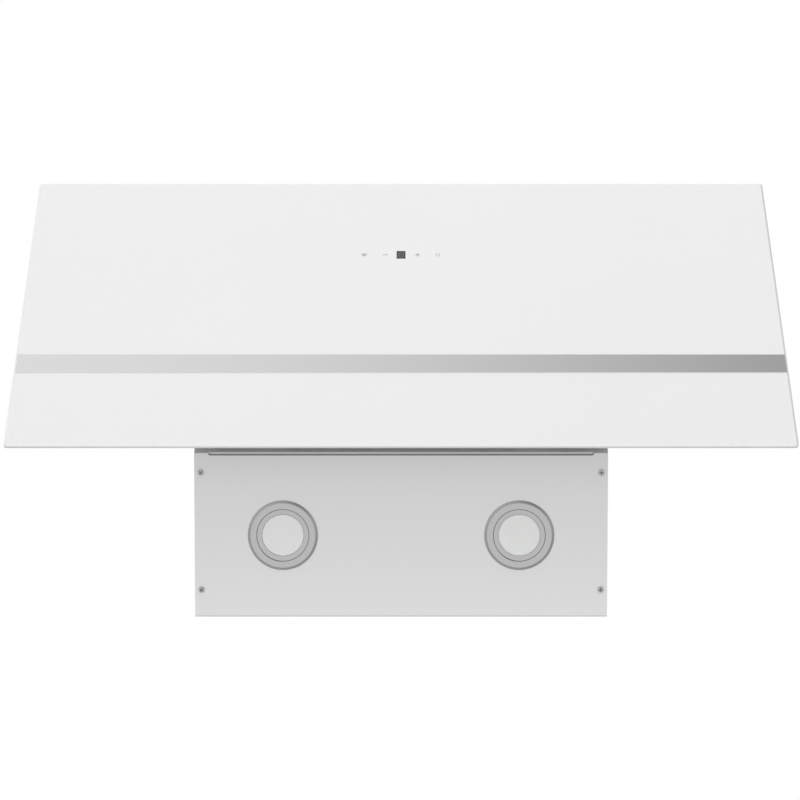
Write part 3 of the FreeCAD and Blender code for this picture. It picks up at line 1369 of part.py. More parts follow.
def build():
    """Model every sub-part."""
    back_panel()
    top_panel()
    bottom_plate()
    front_frame()
    casing_screws()
    for side, sign in SIDES:
        side_panel(side, sign)
        filter_frame(side, sign)
        filter_mesh(side, sign)
        latch_cup(side, sign)
        filter_latch(side, sign)
        lamp(side, sign)
        blower_shell(side, sign)
    group("lamp_spring_clips", [
        lamp_clip(sign * LAMP_X, way) for _, sign in SIDES for way in (-1, 1)])
    impeller()
    motor()
    motor_bracket()
    capacitor()
    control_box()
    cable_gland()
    duct_collar()
    damper_flap("damper_flap_rear", 1)
    damper_flap("damper_flap_front", -1)
    lower_chimney()
    upper_chimney()
    chimney_bracket()
    glass_panel()
    panel_backing()
    touch_control()
    hinges()
    catches()


def check_model():
    """Stop if any object of the document failed, or any sub-part has no valid solid."""
    for item in doc.Objects:
        if {"Invalid", "Error"} & set(item.State):
            raise RuntimeError(f"{item.Label} failed: {item.State}")
    for item in parts:
        shape = item.Shape
        if shape.isNull() or not shape.isValid() or not shape.Solids:
            raise RuntimeError(f"{item.Label} has no valid solid")


def write_parts():
    """Write each sub-part to its own file."""
    os.makedirs("parts", exist_ok=True)
    for item in parts:
        item.Shape.exportStep(f"parts/{item.Label}.step")


build()
doc.recompute()
check_model()
write_parts()
print(len(parts), "sub-parts written")
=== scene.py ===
"""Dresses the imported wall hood: leaning glass front, steel casing, lamps, filters, blower and chimney."""
import json
import logging
import math
from collections.abc import Sequence
from dataclasses import dataclass
from enum import Enum

import bmesh
import bpy
from mathutils import Matrix, Vector


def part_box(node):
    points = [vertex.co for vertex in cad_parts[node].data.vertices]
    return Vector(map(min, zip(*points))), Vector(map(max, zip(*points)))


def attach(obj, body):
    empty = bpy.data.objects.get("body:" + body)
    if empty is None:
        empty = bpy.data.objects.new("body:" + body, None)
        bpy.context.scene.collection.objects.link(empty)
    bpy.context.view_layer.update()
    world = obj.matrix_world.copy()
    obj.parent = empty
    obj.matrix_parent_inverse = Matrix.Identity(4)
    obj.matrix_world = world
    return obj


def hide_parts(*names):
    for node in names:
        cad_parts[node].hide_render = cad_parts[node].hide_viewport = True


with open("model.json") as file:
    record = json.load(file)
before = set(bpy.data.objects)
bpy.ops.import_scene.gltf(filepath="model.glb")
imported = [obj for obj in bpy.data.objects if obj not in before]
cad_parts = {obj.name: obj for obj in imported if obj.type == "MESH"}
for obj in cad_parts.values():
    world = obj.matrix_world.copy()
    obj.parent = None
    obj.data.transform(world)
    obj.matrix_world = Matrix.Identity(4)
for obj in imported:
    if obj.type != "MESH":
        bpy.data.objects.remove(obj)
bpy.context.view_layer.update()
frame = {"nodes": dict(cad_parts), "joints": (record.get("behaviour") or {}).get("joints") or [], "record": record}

LOG = logging.getLogger("hood")
MM = 0.001
NEAR = 0.01 * MM
ACROSS = Vector((1.0, 0.0, 0.0))
UP = Vector((0.0, 0.0, 1.0))
WHITE = (1.0, 1.0, 1.0, 1.0)
Triple = tuple[float, float, float]
Point = tuple[float, float]
Outline = Sequence[Point]
Socket = bpy.types.NodeSocket
Corner = bmesh.types.BMVert


# Node trees

class NodeSheet:
    """A node tree that is filled by short calls."""

    def __init__(self, tree: bpy.types.NodeTree) -> None:
        """Take the tree that is to be filled."""
        self.tree = tree

    def put(self, value: object, target: Socket) -> None:
        """Join a socket to an input, or set a constant on it.

        Args:
            value: Socket or constant.
            target: Input that takes it.
        """
        if isinstance(value, Socket):
            self.tree.links.new(value, target)
        else:
            target.default_value = value

    def fill(self, node: bpy.types.Node, **values: object) -> None:
        """Join or set a node's inputs by their names, with underscores for spaces."""
        for name, value in values.items():
            self.put(value, node.inputs[name.replace("_", " ")])

    def node(self, kind: str, *first: object, **values: object) -> bpy.types.Node:
        """Add a node and join or set its inputs.

        Args:
            kind: Node type.
            first: Sockets or constants for its first inputs, in order.
            values: Sockets or constants for inputs by name, with underscores for spaces.

        Returns:
            The new node.
        """
        made = self.tree.nodes.new(kind)
        for value, target in zip(first, made.inputs):
            self.put(value, target)
        self.fill(made, **values)
        return made

    def math(self, operation: str, *values: object) -> Socket:
        """Work out one or two values.

        Args:
            operation: Kind of sum, such as ADD.
            values: Sockets or constants.

        Returns:
            The result's socket.
        """
        made = self.node("ShaderNodeMath", *values)
        made.operation = operation
        return made.outputs[0]

    def step(self, value: Socket, span: tuple[float, float]) -> Socket:
        """Smooth step of a value from 0 to 1.

        Args:
            value: Value to test.
            span: Where the step starts and ends.

        Returns:
            The result's socket.
        """
        made = self.node("ShaderNodeMapRange", Value=value, From_Min=span[0], From_Max=span[1])
        made.interpolation_type = "SMOOTHSTEP"
        return made.outputs["Result"]


class MaterialSheet(NodeSheet):
    """One material's node tree."""

    pattern_low: float = 0.3
    pattern_high: float = 0.7

    def __init__(self, name: str) -> None:
        """Start the material with its principled shader.

        Args:
            name: Name of the material.
        """
        self.material = bpy.data.materials.new(name)
        self.material.use_nodes = True
        super().__init__(self.material.node_tree)
        self.shader = self.tree.nodes["Principled BSDF"]

    def place(self, density: Triple) -> Socket:
        """Object coordinates, denser or thinner along each axis.

        Args:
            density: Factor along X, Y and Z.

        Returns:
            The vector socket.
        """
        coords = self.node("ShaderNodeTexCoord")
        mapping = self.node("ShaderNodeMapping", Vector=coords.outputs["Object"], Scale=density)
        return mapping.outputs["Vector"]

    def spread(self, pattern: Socket, low: float, high: float) -> Socket:
        """Stretch the middle of a pattern to a range.

        Args:
            pattern: Pattern between 0 and 1.
            low: Lowest result.
            high: Highest result.

        Returns:
            The value socket.
        """
        made = self.node("ShaderNodeMapRange", Value=pattern, From_Min=self.pattern_low,
                         From_Max=self.pattern_high, To_Min=low, To_Max=high)
        return made.outputs["Result"]

    def tint(self, pattern: Socket, low: Triple, high: Triple) -> None:
        """Vary the base colour between two colours.

        Args:
            pattern: Pattern between 0 and 1.
            low: Colour at 0.
            high: Colour at 1.
        """
        mix = self.node("ShaderNodeMix")
        mix.data_type = "RGBA"
        self.put(pattern, mix.inputs[0])
        targets = [socket for socket in mix.inputs if socket.type == "RGBA"]
        for target, colour in zip(targets, (low, high)):
            target.default_value = (*colour, 1.0)
        result = next(socket for socket in mix.outputs if socket.type == "RGBA")
        self.fill(self.shader, Base_Color=result)

    def relief(self, pattern: Socket, strength: float, depth: float) -> None:
        """Press a pattern into the surface, by a share of a depth in metres."""
        bump = self.node("ShaderNodeBump", Height=pattern, Strength=strength, Distance=depth)
        self.fill(self.shader, Normal=bump.outputs["Normal"])


# Finishes

DRAWN_OUT = 0.004


class Grain(Enum):
    """Way in which the fine marks of a surface run, as their density along X, Y and Z."""

    EVEN = (1.0, 1.0, 1.0)
    ACROSS = (DRAWN_OUT, 1.0, 1.0)
    INWARD = (1.0, DRAWN_OUT, 1.0)
    UPRIGHT = (1.0, 1.0, DRAWN_OUT)


@dataclass(frozen=True)
class Finish:
    """Surface whose fine marks vary its tone, gloss and relief."""

    name: str
    colour: Triple
    roughness: float
    metallic: float = 0.0
    grain: Grain = Grain.EVEN
    density: float = 700.0
    detail: float = 3.0
    tone_spread: float = 0.04
    gloss_spread: float = 0.05
    relief: float = 0.1
    depth: float = 0.05 * MM
    specular: float = 0.5
    lightest: float = 0.95
    smoothest: float = 0.02

    def marks(self, sheet: MaterialSheet) -> Socket:
        """Pattern of the fine marks, between 0 and 1."""
        return sheet.node("ShaderNodeTexNoise", Vector=sheet.place(self.grain.value), Scale=self.density,
                          Detail=self.detail).outputs[0]

    def shade(self, factor: float) -> Triple:
        """The colour, lighter or darker, kept under white."""
        red, green, blue = (min(self.lightest, part * factor) for part in self.colour)
        return red, green, blue

    def material(self) -> bpy.types.Material:
        """The material of this finish, made once.

        Returns:
            The material.
        """
        found = bpy.data.materials.get(self.name)
        if found:
            return found
        sheet = MaterialSheet(self.name)
        marks = self.marks(sheet)
        darker, lighter = self.shade(1 - self.tone_spread), self.shade(1 + self.tone_spread)
        sheet.tint(sheet.spread(marks, 0.0, 1.0), darker, lighter)
        low = max(self.smoothest, self.roughness - self.gloss_spread)
        gloss = sheet.spread(marks, low, self.roughness + self.gloss_spread)
        sheet.fill(sheet.shader, Metallic=self.metallic, Specular_IOR_Level=self.specular, Roughness=gloss)
        if self.relief:
            sheet.relief(marks, self.relief, self.depth)
        return sheet.material


@dataclass(frozen=True)
class Spangled(Finish):
    """Zinc coat with its crystal flakes."""

    def marks(self, sheet: MaterialSheet) -> Socket:
        """Flakes of even tone, between 0 and 1."""
        place = sheet.place(self.grain.value)
        return sheet.node("ShaderNodeTexVoronoi", Vector=place, Scale=self.density).outputs["Color"]


@dataclass(frozen=True)
class Frosted(Finish):
    """Milky lens that lets some light through."""

    glow: float = 0.3
    glow_depth: float = 2.0 * MM

    def material(self) -> bpy.types.Material:
        """The finish with light that travels inside it.

        Returns:
            The material.
        """
        made = super().material()
        sheet = NodeSheet(made.node_tree)
        shader = made.node_tree.nodes["Principled BSDF"]
        sheet.fill(shader, Subsurface_Weight=self.glow, Subsurface_Scale=self.glow_depth)
        return made


GLASS_FACE = Finish("white_glass_face", (0.80, 0.80, 0.81), 0.10, density=3.0, detail=2.0,
                    tone_spread=0.006, gloss_spread=0.02, relief=0.0, specular=0.25)
GLASS_BEVEL = Finish("polished_glass_bevel", (0.85, 0.85, 0.86), 0.10, 0.45, density=60.0,
                     tone_spread=0.01, gloss_spread=0.02, relief=0.0)
GLASS_EDGE = Finish("ground_glass_edge", (0.58, 0.60, 0.60), 0.16, density=60.0,
                    tone_spread=0.02, relief=0.03)
GLASS_BACK = Finish("white_back_coat", (0.78, 0.78, 0.78), 0.45, density=500.0,
                    tone_spread=0.02, relief=0.15)
PRINT = Finish("grey_icon_print", (0.38, 0.38, 0.39), 0.35, density=900.0, relief=0.0)
STRIP_STEEL = Finish("brushed_strip", (0.74, 0.74, 0.745), 0.24, 1.0, Grain.ACROSS, density=2600.0,
                     detail=2.0, tone_spread=0.012, gloss_spread=0.03, relief=0.03)
SATIN_STEEL = Finish("satin_plate", (0.64, 0.64, 0.645), 0.50, 0.5, Grain.ACROSS, density=3000.0,
                     detail=2.0, tone_spread=0.015, gloss_spread=0.04, relief=0.03)
SIDE_STEEL = Finish("satin_sides", (0.66, 0.66, 0.66), 0.32, 1.0, Grain.INWARD, density=900.0,
                    tone_spread=0.02, gloss_spread=0.04, relief=0.03)
CHIMNEY_STEEL = Finish("brushed_chimney", (0.66, 0.66, 0.66), 0.30, 1.0, Grain.UPRIGHT, density=900.0,
                       tone_spread=0.02, gloss_spread=0.04, relief=0.03)
# The front frame's own satin finish; it is also laid on the side panels' sloped folds as a painted shade.
FRAME_STEEL_AND_FOLD_SHADE = Finish("satin_frame", (0.49, 0.49, 0.495), 0.52, 0.4, Grain.ACROSS, density=2600.0,
                     detail=2.0, tone_spread=0.03, relief=0.05)
ZINC = Spangled("spangled_zinc", (0.52, 0.53, 0.54), 0.42, 1.0, density=140.0,
                tone_spread=0.05, relief=0.03)
SCREW_STEEL = Finish("turned_screw_steel", (0.50, 0.50, 0.50), 0.30, 1.0, density=2500.0, relief=0.08)
# Dark finish for the screws' cross recesses: a painted shade where the recess lies in shadow.
SCREW_RECESS_SHADE = Finish("dark_screw_recess", (0.25, 0.25, 0.25), 0.5, 0.6, density=2500.0, relief=0.08)
LAMP_METAL = Finish("satin_lamp_ring", (0.49, 0.49, 0.495), 0.24, 1.0, density=1800.0,
                    tone_spread=0.02, relief=0.03)
# Darker copy of the lamp ring's finish for the bezel's outer rounding: a painted shade for the dark outline round
# each lamp.
LAMP_RIM_SHADE = Finish("satin_lamp_rim", (0.39, 0.39, 0.395), 0.36, 1.0, density=1800.0,
                  tone_spread=0.02, relief=0.03)
LENS = Frosted("milky_lens", (0.64, 0.64, 0.635), 0.40, density=1500.0, tone_spread=0.015, relief=0.05)
CAST_METAL = Finish("cast_aluminium", (0.58, 0.59, 0.60), 0.42, 1.0, density=1200.0, relief=0.2)
FILTER_METAL = Finish("filter_aluminium", (0.60, 0.61, 0.62), 0.36, 1.0, density=900.0,
                      tone_spread=0.06, relief=0.12)
DARK_PLASTIC = Finish("moulded_dark_plastic", (0.045, 0.045, 0.048), 0.48, density=1600.0,
                      tone_spread=0.12, relief=0.25)
BLOWER_PLASTIC = Finish("moulded_blower_plastic", (0.030, 0.030, 0.033), 0.5, density=1400.0,
                        tone_spread=0.12, relief=0.25)
PALE_PLASTIC = Finish("moulded_pale_plastic", (0.60, 0.60, 0.58), 0.45, density=1400.0,
                      tone_spread=0.03, relief=0.2)
MOTOR_PAINT = Finish("motor_paint", (0.20, 0.21, 0.23), 0.40, 0.6, density=1000.0,
                     tone_spread=0.06, relief=0.15)
RUBBER = Finish("matt_rubber", (0.028, 0.028, 0.028), 0.75, density=1500.0, tone_spread=0.15, relief=0.3)
TRAY_PAINT = Finish("powder_coat", (0.66, 0.66, 0.67), 0.45, density=1800.0, tone_spread=0.02, relief=0.25)
# Dark felt over the lip gap: a painted shade standing in for the shadow in the gap.
FELT_GAP_SHADE = Finish("felt_seal", (0.34, 0.34, 0.335), 0.9, density=2500.0, tone_spread=0.08, relief=0.4)
TAPE = Finish("foam_tape", (0.70, 0.70, 0.69), 0.85, density=2500.0, tone_spread=0.05, relief=0.4)
TILE = Finish("dark_display", (0.055, 0.055, 0.052), 0.15, density=400.0, tone_spread=0.08, relief=0.0)
SEGMENT = Finish("unlit_segments", (0.15, 0.15, 0.14), 0.30, density=900.0, relief=0.0)
FLOOR_PAINT = Finish("pale_floor", (0.86, 0.86, 0.86), 0.8, density=4.0, tone_spread=0.004, relief=0.0)

SLOT_FINISHES: dict[str, Finish] = {
    "white_glass": GLASS_FACE, "strip_steel": STRIP_STEEL, "display_black": TILE, "casing_steel": SIDE_STEEL,
    "plate_steel": SATIN_STEEL, "galvanised": ZINC, "screw_steel": SCREW_STEEL, "lamp_metal": LAMP_METAL,
    "lamp_lens": LENS, "heat_sink": CAST_METAL, "filter_aluminium": FILTER_METAL,
    "latch_plastic": DARK_PLASTIC, "blower_plastic": BLOWER_PLASTIC, "motor_metal": MOTOR_PAINT,
    "rubber": RUBBER, "electric_plastic": PALE_PLASTIC, "collar_plastic": DARK_PLASTIC,
    "backing_paint": TRAY_PAINT, "tape": TAPE, "magnet_case": PALE_PLASTIC,
}
NODE_SLOTS: dict[str, str] = {row["node"]: row["material_slot"] for row in frame["record"]["subparts"]}
NODE_BODIES: dict[str, str] = {
    node: body for body, nodes in frame["record"]["behaviour"]["bodies"].items() for node in nodes}


# Meshes

WELD = 0.002 * MM
SLIVER = 0.005 * MM
FLAT_ANGLE = math.radians(0.1)
EASED_ANGLE = math.radians(50.0)
EASED_LENGTH = 8.0
SHARP_DEGREES = 32.0


def corners_of(node: str) -> list[Vector]:
    """Corners of a CAD node."""
    return [corner.co for corner in frame["nodes"][node].data.vertices]


def clean_copy(node: str) -> bmesh.types.BMesh:
    """Copy a CAD node's mesh with its loose triangles joined.

    Args:
        node: Name of the CAD node.

    Returns:
        The copy, with shared corners and flat faces in one piece.
    """
    shape = bmesh.new()
    shape.from_mesh(frame["nodes"][node].data)
    bmesh.ops.remove_doubles(shape, verts=shape.verts, dist=WELD)
    bmesh.ops.dissolve_limit(shape, angle_limit=FLAT_ANGLE, verts=shape.verts, edges=shape.edges)
    return shape


def ease_edges(shape: bmesh.types.BMesh, width: float) -> None:
    """Round the long sharp edges of a shape.

    Args:
        shape: Shape to change.
        width: Width of the rounding.
    """
    shortest = EASED_LENGTH * width
    sharp = [
        edge for edge in shape.edges
        if edge.is_manifold and edge.calc_length() > shortest and edge.calc_face_angle() > EASED_ANGLE]
    bmesh.ops.bevel(shape, geom=sharp, offset=width, segments=2, profile=0.5, affect="EDGES",
                    clamp_overlap=True)
    bmesh.ops.dissolve_degenerate(shape, dist=SLIVER, edges=shape.edges)


def solids_of(node: str) -> list[list[Vector]]:
    """Split a CAD node's corners by the solids that they belong to.

    Args:
        node: Name of the CAD node.

    Returns:
        The corners of each solid.
    """
    shape = clean_copy(node)
    seen = set()
    groups = []
    for start in shape.verts:
        front = [] if start in seen else [start]
        group = []
        seen.update(front)
        while front:
            corner = front.pop()
            group.append(corner.co.copy())
            near = [edge.other_vert(corner) for edge in corner.link_edges]
            front += [other for other in near if other not in seen]
            seen.update(near)
        if group:
            groups.append(group)
    shape.free()
    return groups


def lathe(outline: Outline, steps: int = 96) -> bmesh.types.BMesh:
    """Turn a closed outline round Z.

    Args:
        outline: Points as (radius, height), in order.
        steps: Faces round the turn.

    Returns:
        The closed shape.
    """
    shape = bmesh.new()
    rings = []
    for radius, height in outline:
        count = steps if radius > 0.0 else 1
        angles = (math.tau * step / count for step in range(count))
        rings.append([shape.verts.new((radius * math.cos(a), radius * math.sin(a), height)) for a in angles])
    for ring, after in zip(rings, rings[1:] + rings[:1]):
        if len(ring) == len(after) == 1:
            continue
        for step in range(steps):
            corners = [ring[step % len(ring)], ring[(step + 1) % len(ring)]]
            corners += [after[(step + 1) % len(after)], after[step % len(after)]]
            shape.faces.new(list(dict.fromkeys(corners)))
    bmesh.ops.recalc_face_normals(shape, faces=shape.faces)
    return shape


def arc(centre: Point, radius: float, start: float, stop: float, steps: int = 4) -> list[Point]:
    """Points along an arc.

    Args:
        centre: Middle of the arc.
        radius: Radius of the arc.
        start: First angle, in degrees.
        stop: Last angle, in degrees.
        steps: Stretches along the arc.

    Returns:
        The points, both ends included.
    """
    angles = [math.radians(start + (stop - start) * step / steps) for step in range(steps + 1)]
    return [(centre[0] + radius * math.cos(a), centre[1] + radius * math.sin(a)) for a in angles]


def bar(x0: float, y0: float, x1: float, y1: float) -> Outline:
    """Corners of an upright rectangle."""
    return [(x0, y0), (x1, y0), (x1, y1), (x0, y1)]


def shift(outline: Outline, across: float, upward: float) -> Outline:
    """Corners of an outline in another place."""
    return [(across + x, upward + y) for x, y in outline]


def wall(shape: bmesh.types.BMesh, low: list[Corner], high: list[Corner]) -> list[bmesh.types.BMFace]:
    """Join two rings of corners by a face for each pair of neighbours."""
    pairs = zip(low, low[1:] + low[:1], high[1:] + high[:1], high)
    return [shape.faces.new(corners) for corners in pairs]


def raise_outline(shape: bmesh.types.BMesh, outline: Outline, low: float, high: float) -> None:
    """Add a flat outline to a shape as a thin solid.

    Args:
        shape: Shape that takes the solid.
        outline: Corners of the outline, counterclockwise.
        low: Height of its back.
        high: Height of its face.
    """
    back = [shape.verts.new((x, y, low)) for x, y in outline]
    face = [shape.verts.new((x, y, high)) for x, y in outline]
    shape.faces.new(list(reversed(back)))
    shape.faces.new(face)
    wall(shape, back, face)


def smooth(mesh: bpy.types.Mesh, sharp: float = SHARP_DEGREES) -> None:
    """Make a mesh smooth but for edges from an angle in degrees on."""
    mesh.shade_smooth()
    mesh.set_sharp_from_angle(angle=math.radians(sharp))


def finish_mesh(shape: bmesh.types.BMesh, name: str, sharp: float = SHARP_DEGREES) -> bpy.types.Mesh:
    """Turn a shape into a mesh that is smooth but for its sharp edges.

    Args:
        shape: Shape, freed here.
        name: Name of the mesh.
        sharp: Angle from which an edge stays sharp, in degrees.

    Returns:
        The mesh.
    """
    mesh = bpy.data.meshes.new(name)
    shape.to_mesh(mesh)
    shape.free()
    stored = mesh.attributes.get("custom_normal")
    if stored:
        mesh.attributes.remove(stored)
    smooth(mesh, sharp)
    return mesh


def add_object(name: str, data: bpy.types.ID) -> bpy.types.Object:
    """Put a mesh, a camera or a lamp in the scene.

    Args:
        name: Name of the object.
        data: What it shows.

    Returns:
        The new object.
    """
    made = bpy.data.objects.new(name, data)
    bpy.context.scene.collection.objects.link(made)
    return made


def dress(mesh: bpy.types.Mesh, *finishes: Finish) -> None:
    """Add a material slot to a mesh for each finish, in order."""
    for finish in finishes:
        mesh.materials.append(finish.material())


@dataclass(frozen=True)
class Piece:
    """Name of a finished mesh, the CAD node that it stands for, and its finish."""

    name: str
    node: str
    finish: Finish | None = None
    hides: bool = True

    def show(self, mesh: bpy.types.Mesh, *more: Finish) -> None:
        """Put the mesh in the scene on its node's body.

        Args:
            mesh: Mesh, in its place.
            more: Finishes of its further material slots.
        """
        slot = NODE_SLOTS[self.node]
        if not mesh.materials:
            dress(mesh, self.finish or SLOT_FINISHES[slot], *more)
        made = add_object(self.name, mesh)
        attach(made, NODE_BODIES[self.node])
        if self.hides:
            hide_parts(self.node)
        LOG.info("%s: %d faces for %s", self.name, len(mesh.polygons), self.node)


def show_eased(node: str, width: float) -> None:
    """Show a CAD node with its long edges eased.

    Args:
        node: Name of the CAD node.
        width: Width of the rounding.
    """
    shape = clean_copy(node)
    ease_edges(shape, width)
    Piece(f"eased_{node}", node).show(finish_mesh(shape, node))


def turn_to(upward: Vector, outward: Vector) -> Matrix:
    """Turn that keeps X and sends Y and Z along two ways."""
    return Matrix((ACROSS, upward, outward)).transposed().to_4x4()


@dataclass(frozen=True)
class Slope:
    """The leaning front: X across, then up the slope, then outwards from the filter frame's face."""

    origin: Vector
    up: Vector
    out: Vector

    @classmethod
    def from_frame(cls) -> "Slope":
        """Read the slope from the way of a filter latch and the filter frame.

        Returns:
            The slope.
        """
        latch = next(joint for joint in frame["joints"] if joint["name"] == "latch_left_slide")
        up = -Vector(latch["axis"]).normalized()
        out = ACROSS.cross(up)
        corners = corners_of("front_frame")
        low = min(corner.dot(up) for corner in corners)
        face = max(corner.dot(out) for corner in corners)
        return cls(up * low + out * face, up, out)

    def matrix(self) -> Matrix:
        """Way from flat (x, up, out) to the part's own frame."""
        return Matrix.Translation(self.origin) @ turn_to(self.up, self.out)

    def extent(self, node: str) -> tuple[Vector, Vector]:
        """Lowest and highest (x, up, out) of a CAD node.

        Args:
            node: Name of the CAD node.

        Returns:
            The two corners.
        """
        back = self.matrix().inverted()
        corners = [back @ corner for corner in corners_of(node)]
        low = Vector([min(corner[axis] for corner in corners) for axis in range(3)])
        high = Vector([max(corner[axis] for corner in corners) for axis in range(3)])
        return low, high


SLOPE = Slope.from_frame()


# Repeated pieces

class NodeTree(NodeSheet):
    """A Geometry Nodes tree with named inputs, run once on a base mesh."""

    def __init__(self, name: str) -> None:
        """Start the tree with a geometry input and output.

        Args:
            name: Name of the tree.
        """
        super().__init__(bpy.data.node_groups.new(name, "GeometryNodeTree"))
        self.tree.is_modifier = True
        self.values: dict[str, object] = {}
        self.tree.interface.new_socket("Base", in_out="INPUT", socket_type="NodeSocketGeometry")
        self.tree.interface.new_socket("Result", in_out="OUTPUT", socket_type="NodeSocketGeometry")
        self.source = self.node("NodeGroupInput")

    def input(self, name: str, kind: str, value: object) -> Socket:
        """Add a named input with its value.

        Args:
            name: Name of the input.
            kind: Socket type, such as Float.
            value: Value that the modifier gets.

        Returns:
            The socket inside the tree.
        """
        socket = self.tree.interface.new_socket(name, in_out="INPUT", socket_type=f"NodeSocket{kind}")
        self.values[socket.identifier] = value
        return self.source.outputs[name]

    def under(self, less: Socket, more: Socket) -> Socket:
        """Test whether one value is under another.

        Args:
            less: Value that should be smaller.
            more: Value that should be larger.

        Returns:
            The boolean socket.
        """
        test = self.node("FunctionNodeCompare", less, more)
        test.operation = "LESS_THAN"
        return test.outputs[0]

    def on_points(self, points: Socket, shape: Socket, **more: object) -> Socket:
        """Set a shape on every point."""
        return self.node("GeometryNodeInstanceOnPoints", Points=points, Instance=shape, **more).outputs[0]

    def run(self, base: bpy.types.Mesh, geometry: Socket, finish: Finish) -> bpy.types.Mesh:
        """Close the tree with real geometry in one finish, and turn its result into a plain mesh.

        Args:
            base: Mesh that the tree works on.
            geometry: Last socket of the tree's own nodes.
            finish: Finish of the result.

        Returns:
            The plain mesh.
        """
        material = self.input("Finish", "Material", finish.material())
        real = self.node("GeometryNodeRealizeInstances", Geometry=geometry)
        dressed = self.node("GeometryNodeSetMaterial", Geometry=real.outputs[0], Material=material)
        self.node("NodeGroupOutput", Result=dressed.outputs[0])
        carrier = add_object(f"{self.tree.name}_base", base)
        modifier = carrier.modifiers.new("nodes", "NODES")
        modifier.node_group = self.tree
        for identifier, value in self.values.items():
            modifier[identifier] = value
        graph = bpy.context.evaluated_depsgraph_get()
        mesh = bpy.data.meshes.new_from_object(carrier.evaluated_get(graph), depsgraph=graph)
        carrier.modifiers.remove(modifier)
        bpy.data.objects.remove(carrier)
        smooth(mesh)
        return mesh


RECESS_MARK = "recess"


@dataclass(frozen=True)
class CrossHeadScrew:
    """Domed screw head with a cross recess, its shank behind it, pointing along +Z."""

    head_radius: float = 3.4 * MM
    head_height: float = 2.0 * MM
    crown_share: float = 0.72
    brim_share: float = 0.3
    dome_angles: tuple[float, ...] = (math.pi / 2, 1.1, 0.65, 0.25, 0.0)
    shank_radius: float = 1.8 * MM
    shank_length: float = 4.0 * MM
    arm: float = 2.3 * MM
    arm_width: float = 1.3 * MM
    recess: float = 1.3 * MM
    recess_taper: float = 0.7
    steps: int = 24

    def outline(self) -> Outline:
        """Half section of the shank and the head.

        Returns:
            Points as (radius, height).
        """
        crown = self.crown_share * self.head_radius
        brim = self.brim_share
        dome = [
            (crown + (self.head_radius - crown) * math.sin(angle),
             self.head_height * (brim + (1 - brim) * math.cos(angle)))
            for angle in self.dome_angles]
        shank = [(0.0, -self.shank_length), (self.shank_radius, -self.shank_length), (self.shank_radius, 0.0)]
        return [*shank, (self.head_radius, 0.0), *dome, (0.0, self.head_height)]

    def cross(self) -> Outline:
        """Corners of the recess, counterclockwise.

        Returns:
            Points as (x, y).
        """
        half = self.arm_width / 2
        reach = [(self.arm, half), (half, half), (half, self.arm)]
        corners = []
        for sx, sy in ((1, 1), (-1, 1), (-1, -1), (1, -1)):
            corners += [(sx * x, sy * y) for x, y in (reach if sx * sy > 0 else reversed(reach))]
        return corners

    def mesh(self) -> bpy.types.Mesh:
        """Dome, shank and recess as one closed mesh.

        Returns:
            The mesh.
        """
        shape = lathe(self.outline(), self.steps)
        cap = [face for face in shape.faces if face.calc_center_median().z > self.head_height - NEAR]
        bmesh.ops.delete(shape, geom=cap, context="FACES")
        rim = [edge for edge in shape.edges if edge.is_boundary]
        stray = [corner for corner in shape.verts if not corner.link_edges]
        bmesh.ops.delete(shape, geom=stray, context="VERTS")
        taper, depth = self.recess_taper, self.head_height - self.recess
        top = [shape.verts.new((x, y, self.head_height)) for x, y in self.cross()]
        floor = [shape.verts.new((taper * x, taper * y, depth)) for x, y in self.cross()]
        # Recess faces are marked for the dark finish, a painted shade in the cross recess.
        mark = shape.faces.layers.int.new(RECESS_MARK)
        for face in [*wall(shape, top, floor), shape.faces.new(floor)]:
            face[mark] = 1
        lip = [shape.edges.get(pair) for pair in zip(top, top[1:] + top[:1])]
        bmesh.ops.triangle_fill(shape, use_beauty=True, edges=rim + lip)
        bmesh.ops.recalc_face_normals(shape, faces=shape.faces)
        return finish_mesh(shape, "cross_head")


@dataclass(frozen=True)
class FastenerSet:
    """Screws, one on each seat, turned at random about their own axes."""

    name: str
    template: bpy.types.Mesh
    seed: int

    def mesh(self, seats: Sequence[tuple[Vector, Vector]]) -> bpy.types.Mesh:
        """Set the template on every seat.

        Args:
            seats: Place and outward way of each one.

        Returns:
            The plain mesh.
        """
        base = bpy.data.meshes.new(f"{self.name}_seats")
        base.from_pydata([place for place, _ in seats], [], [])
        ways = base.attributes.new("way", "FLOAT_VECTOR", "POINT")
        ways.data.foreach_set("vector", [part for _, way in seats for part in way])
        pattern = add_object(f"{self.name}_template", self.template)
        tree = NodeTree(self.name)
        chosen = tree.input("Template", "Object", pattern)
        seed = tree.input("Seed", "Int", self.seed)
        info = tree.node("GeometryNodeObjectInfo", Object=chosen)
        way = tree.node("GeometryNodeInputNamedAttribute")
        way.data_type = "FLOAT_VECTOR"
        tree.fill(way, Name="way")
        aim = tree.node("FunctionNodeAlignRotationToVector", Vector=way.outputs["Attribute"])
        aim.axis = "Z"
        spin = tree.node("FunctionNodeRandomValue", Seed=seed)
        angle = tree.math("MULTIPLY", math.pi, spin.outputs[1])
        turn = tree.node("FunctionNodeAxisAngleToRotation", Angle=angle)
        both = tree.node("FunctionNodeRotateRotation", Rotation=aim.outputs[0], Rotate_By=turn.outputs[0])
        both.rotation_space = "LOCAL"
        placed = tree.on_points(tree.source.outputs["Base"], info.outputs["Geometry"],
                                Rotation=both.outputs[0])
        made = tree.run(base, placed, SCREW_STEEL)
        bpy.data.objects.remove(pattern)
        made.materials.clear()
        # The marked recess faces take the dark finish, a painted shade.
        dress(made, SCREW_STEEL, SCREW_RECESS_SHADE)
        for face, mark in zip(made.polygons, made.attributes[RECESS_MARK].data):
            face.material_index = mark.value
        return made


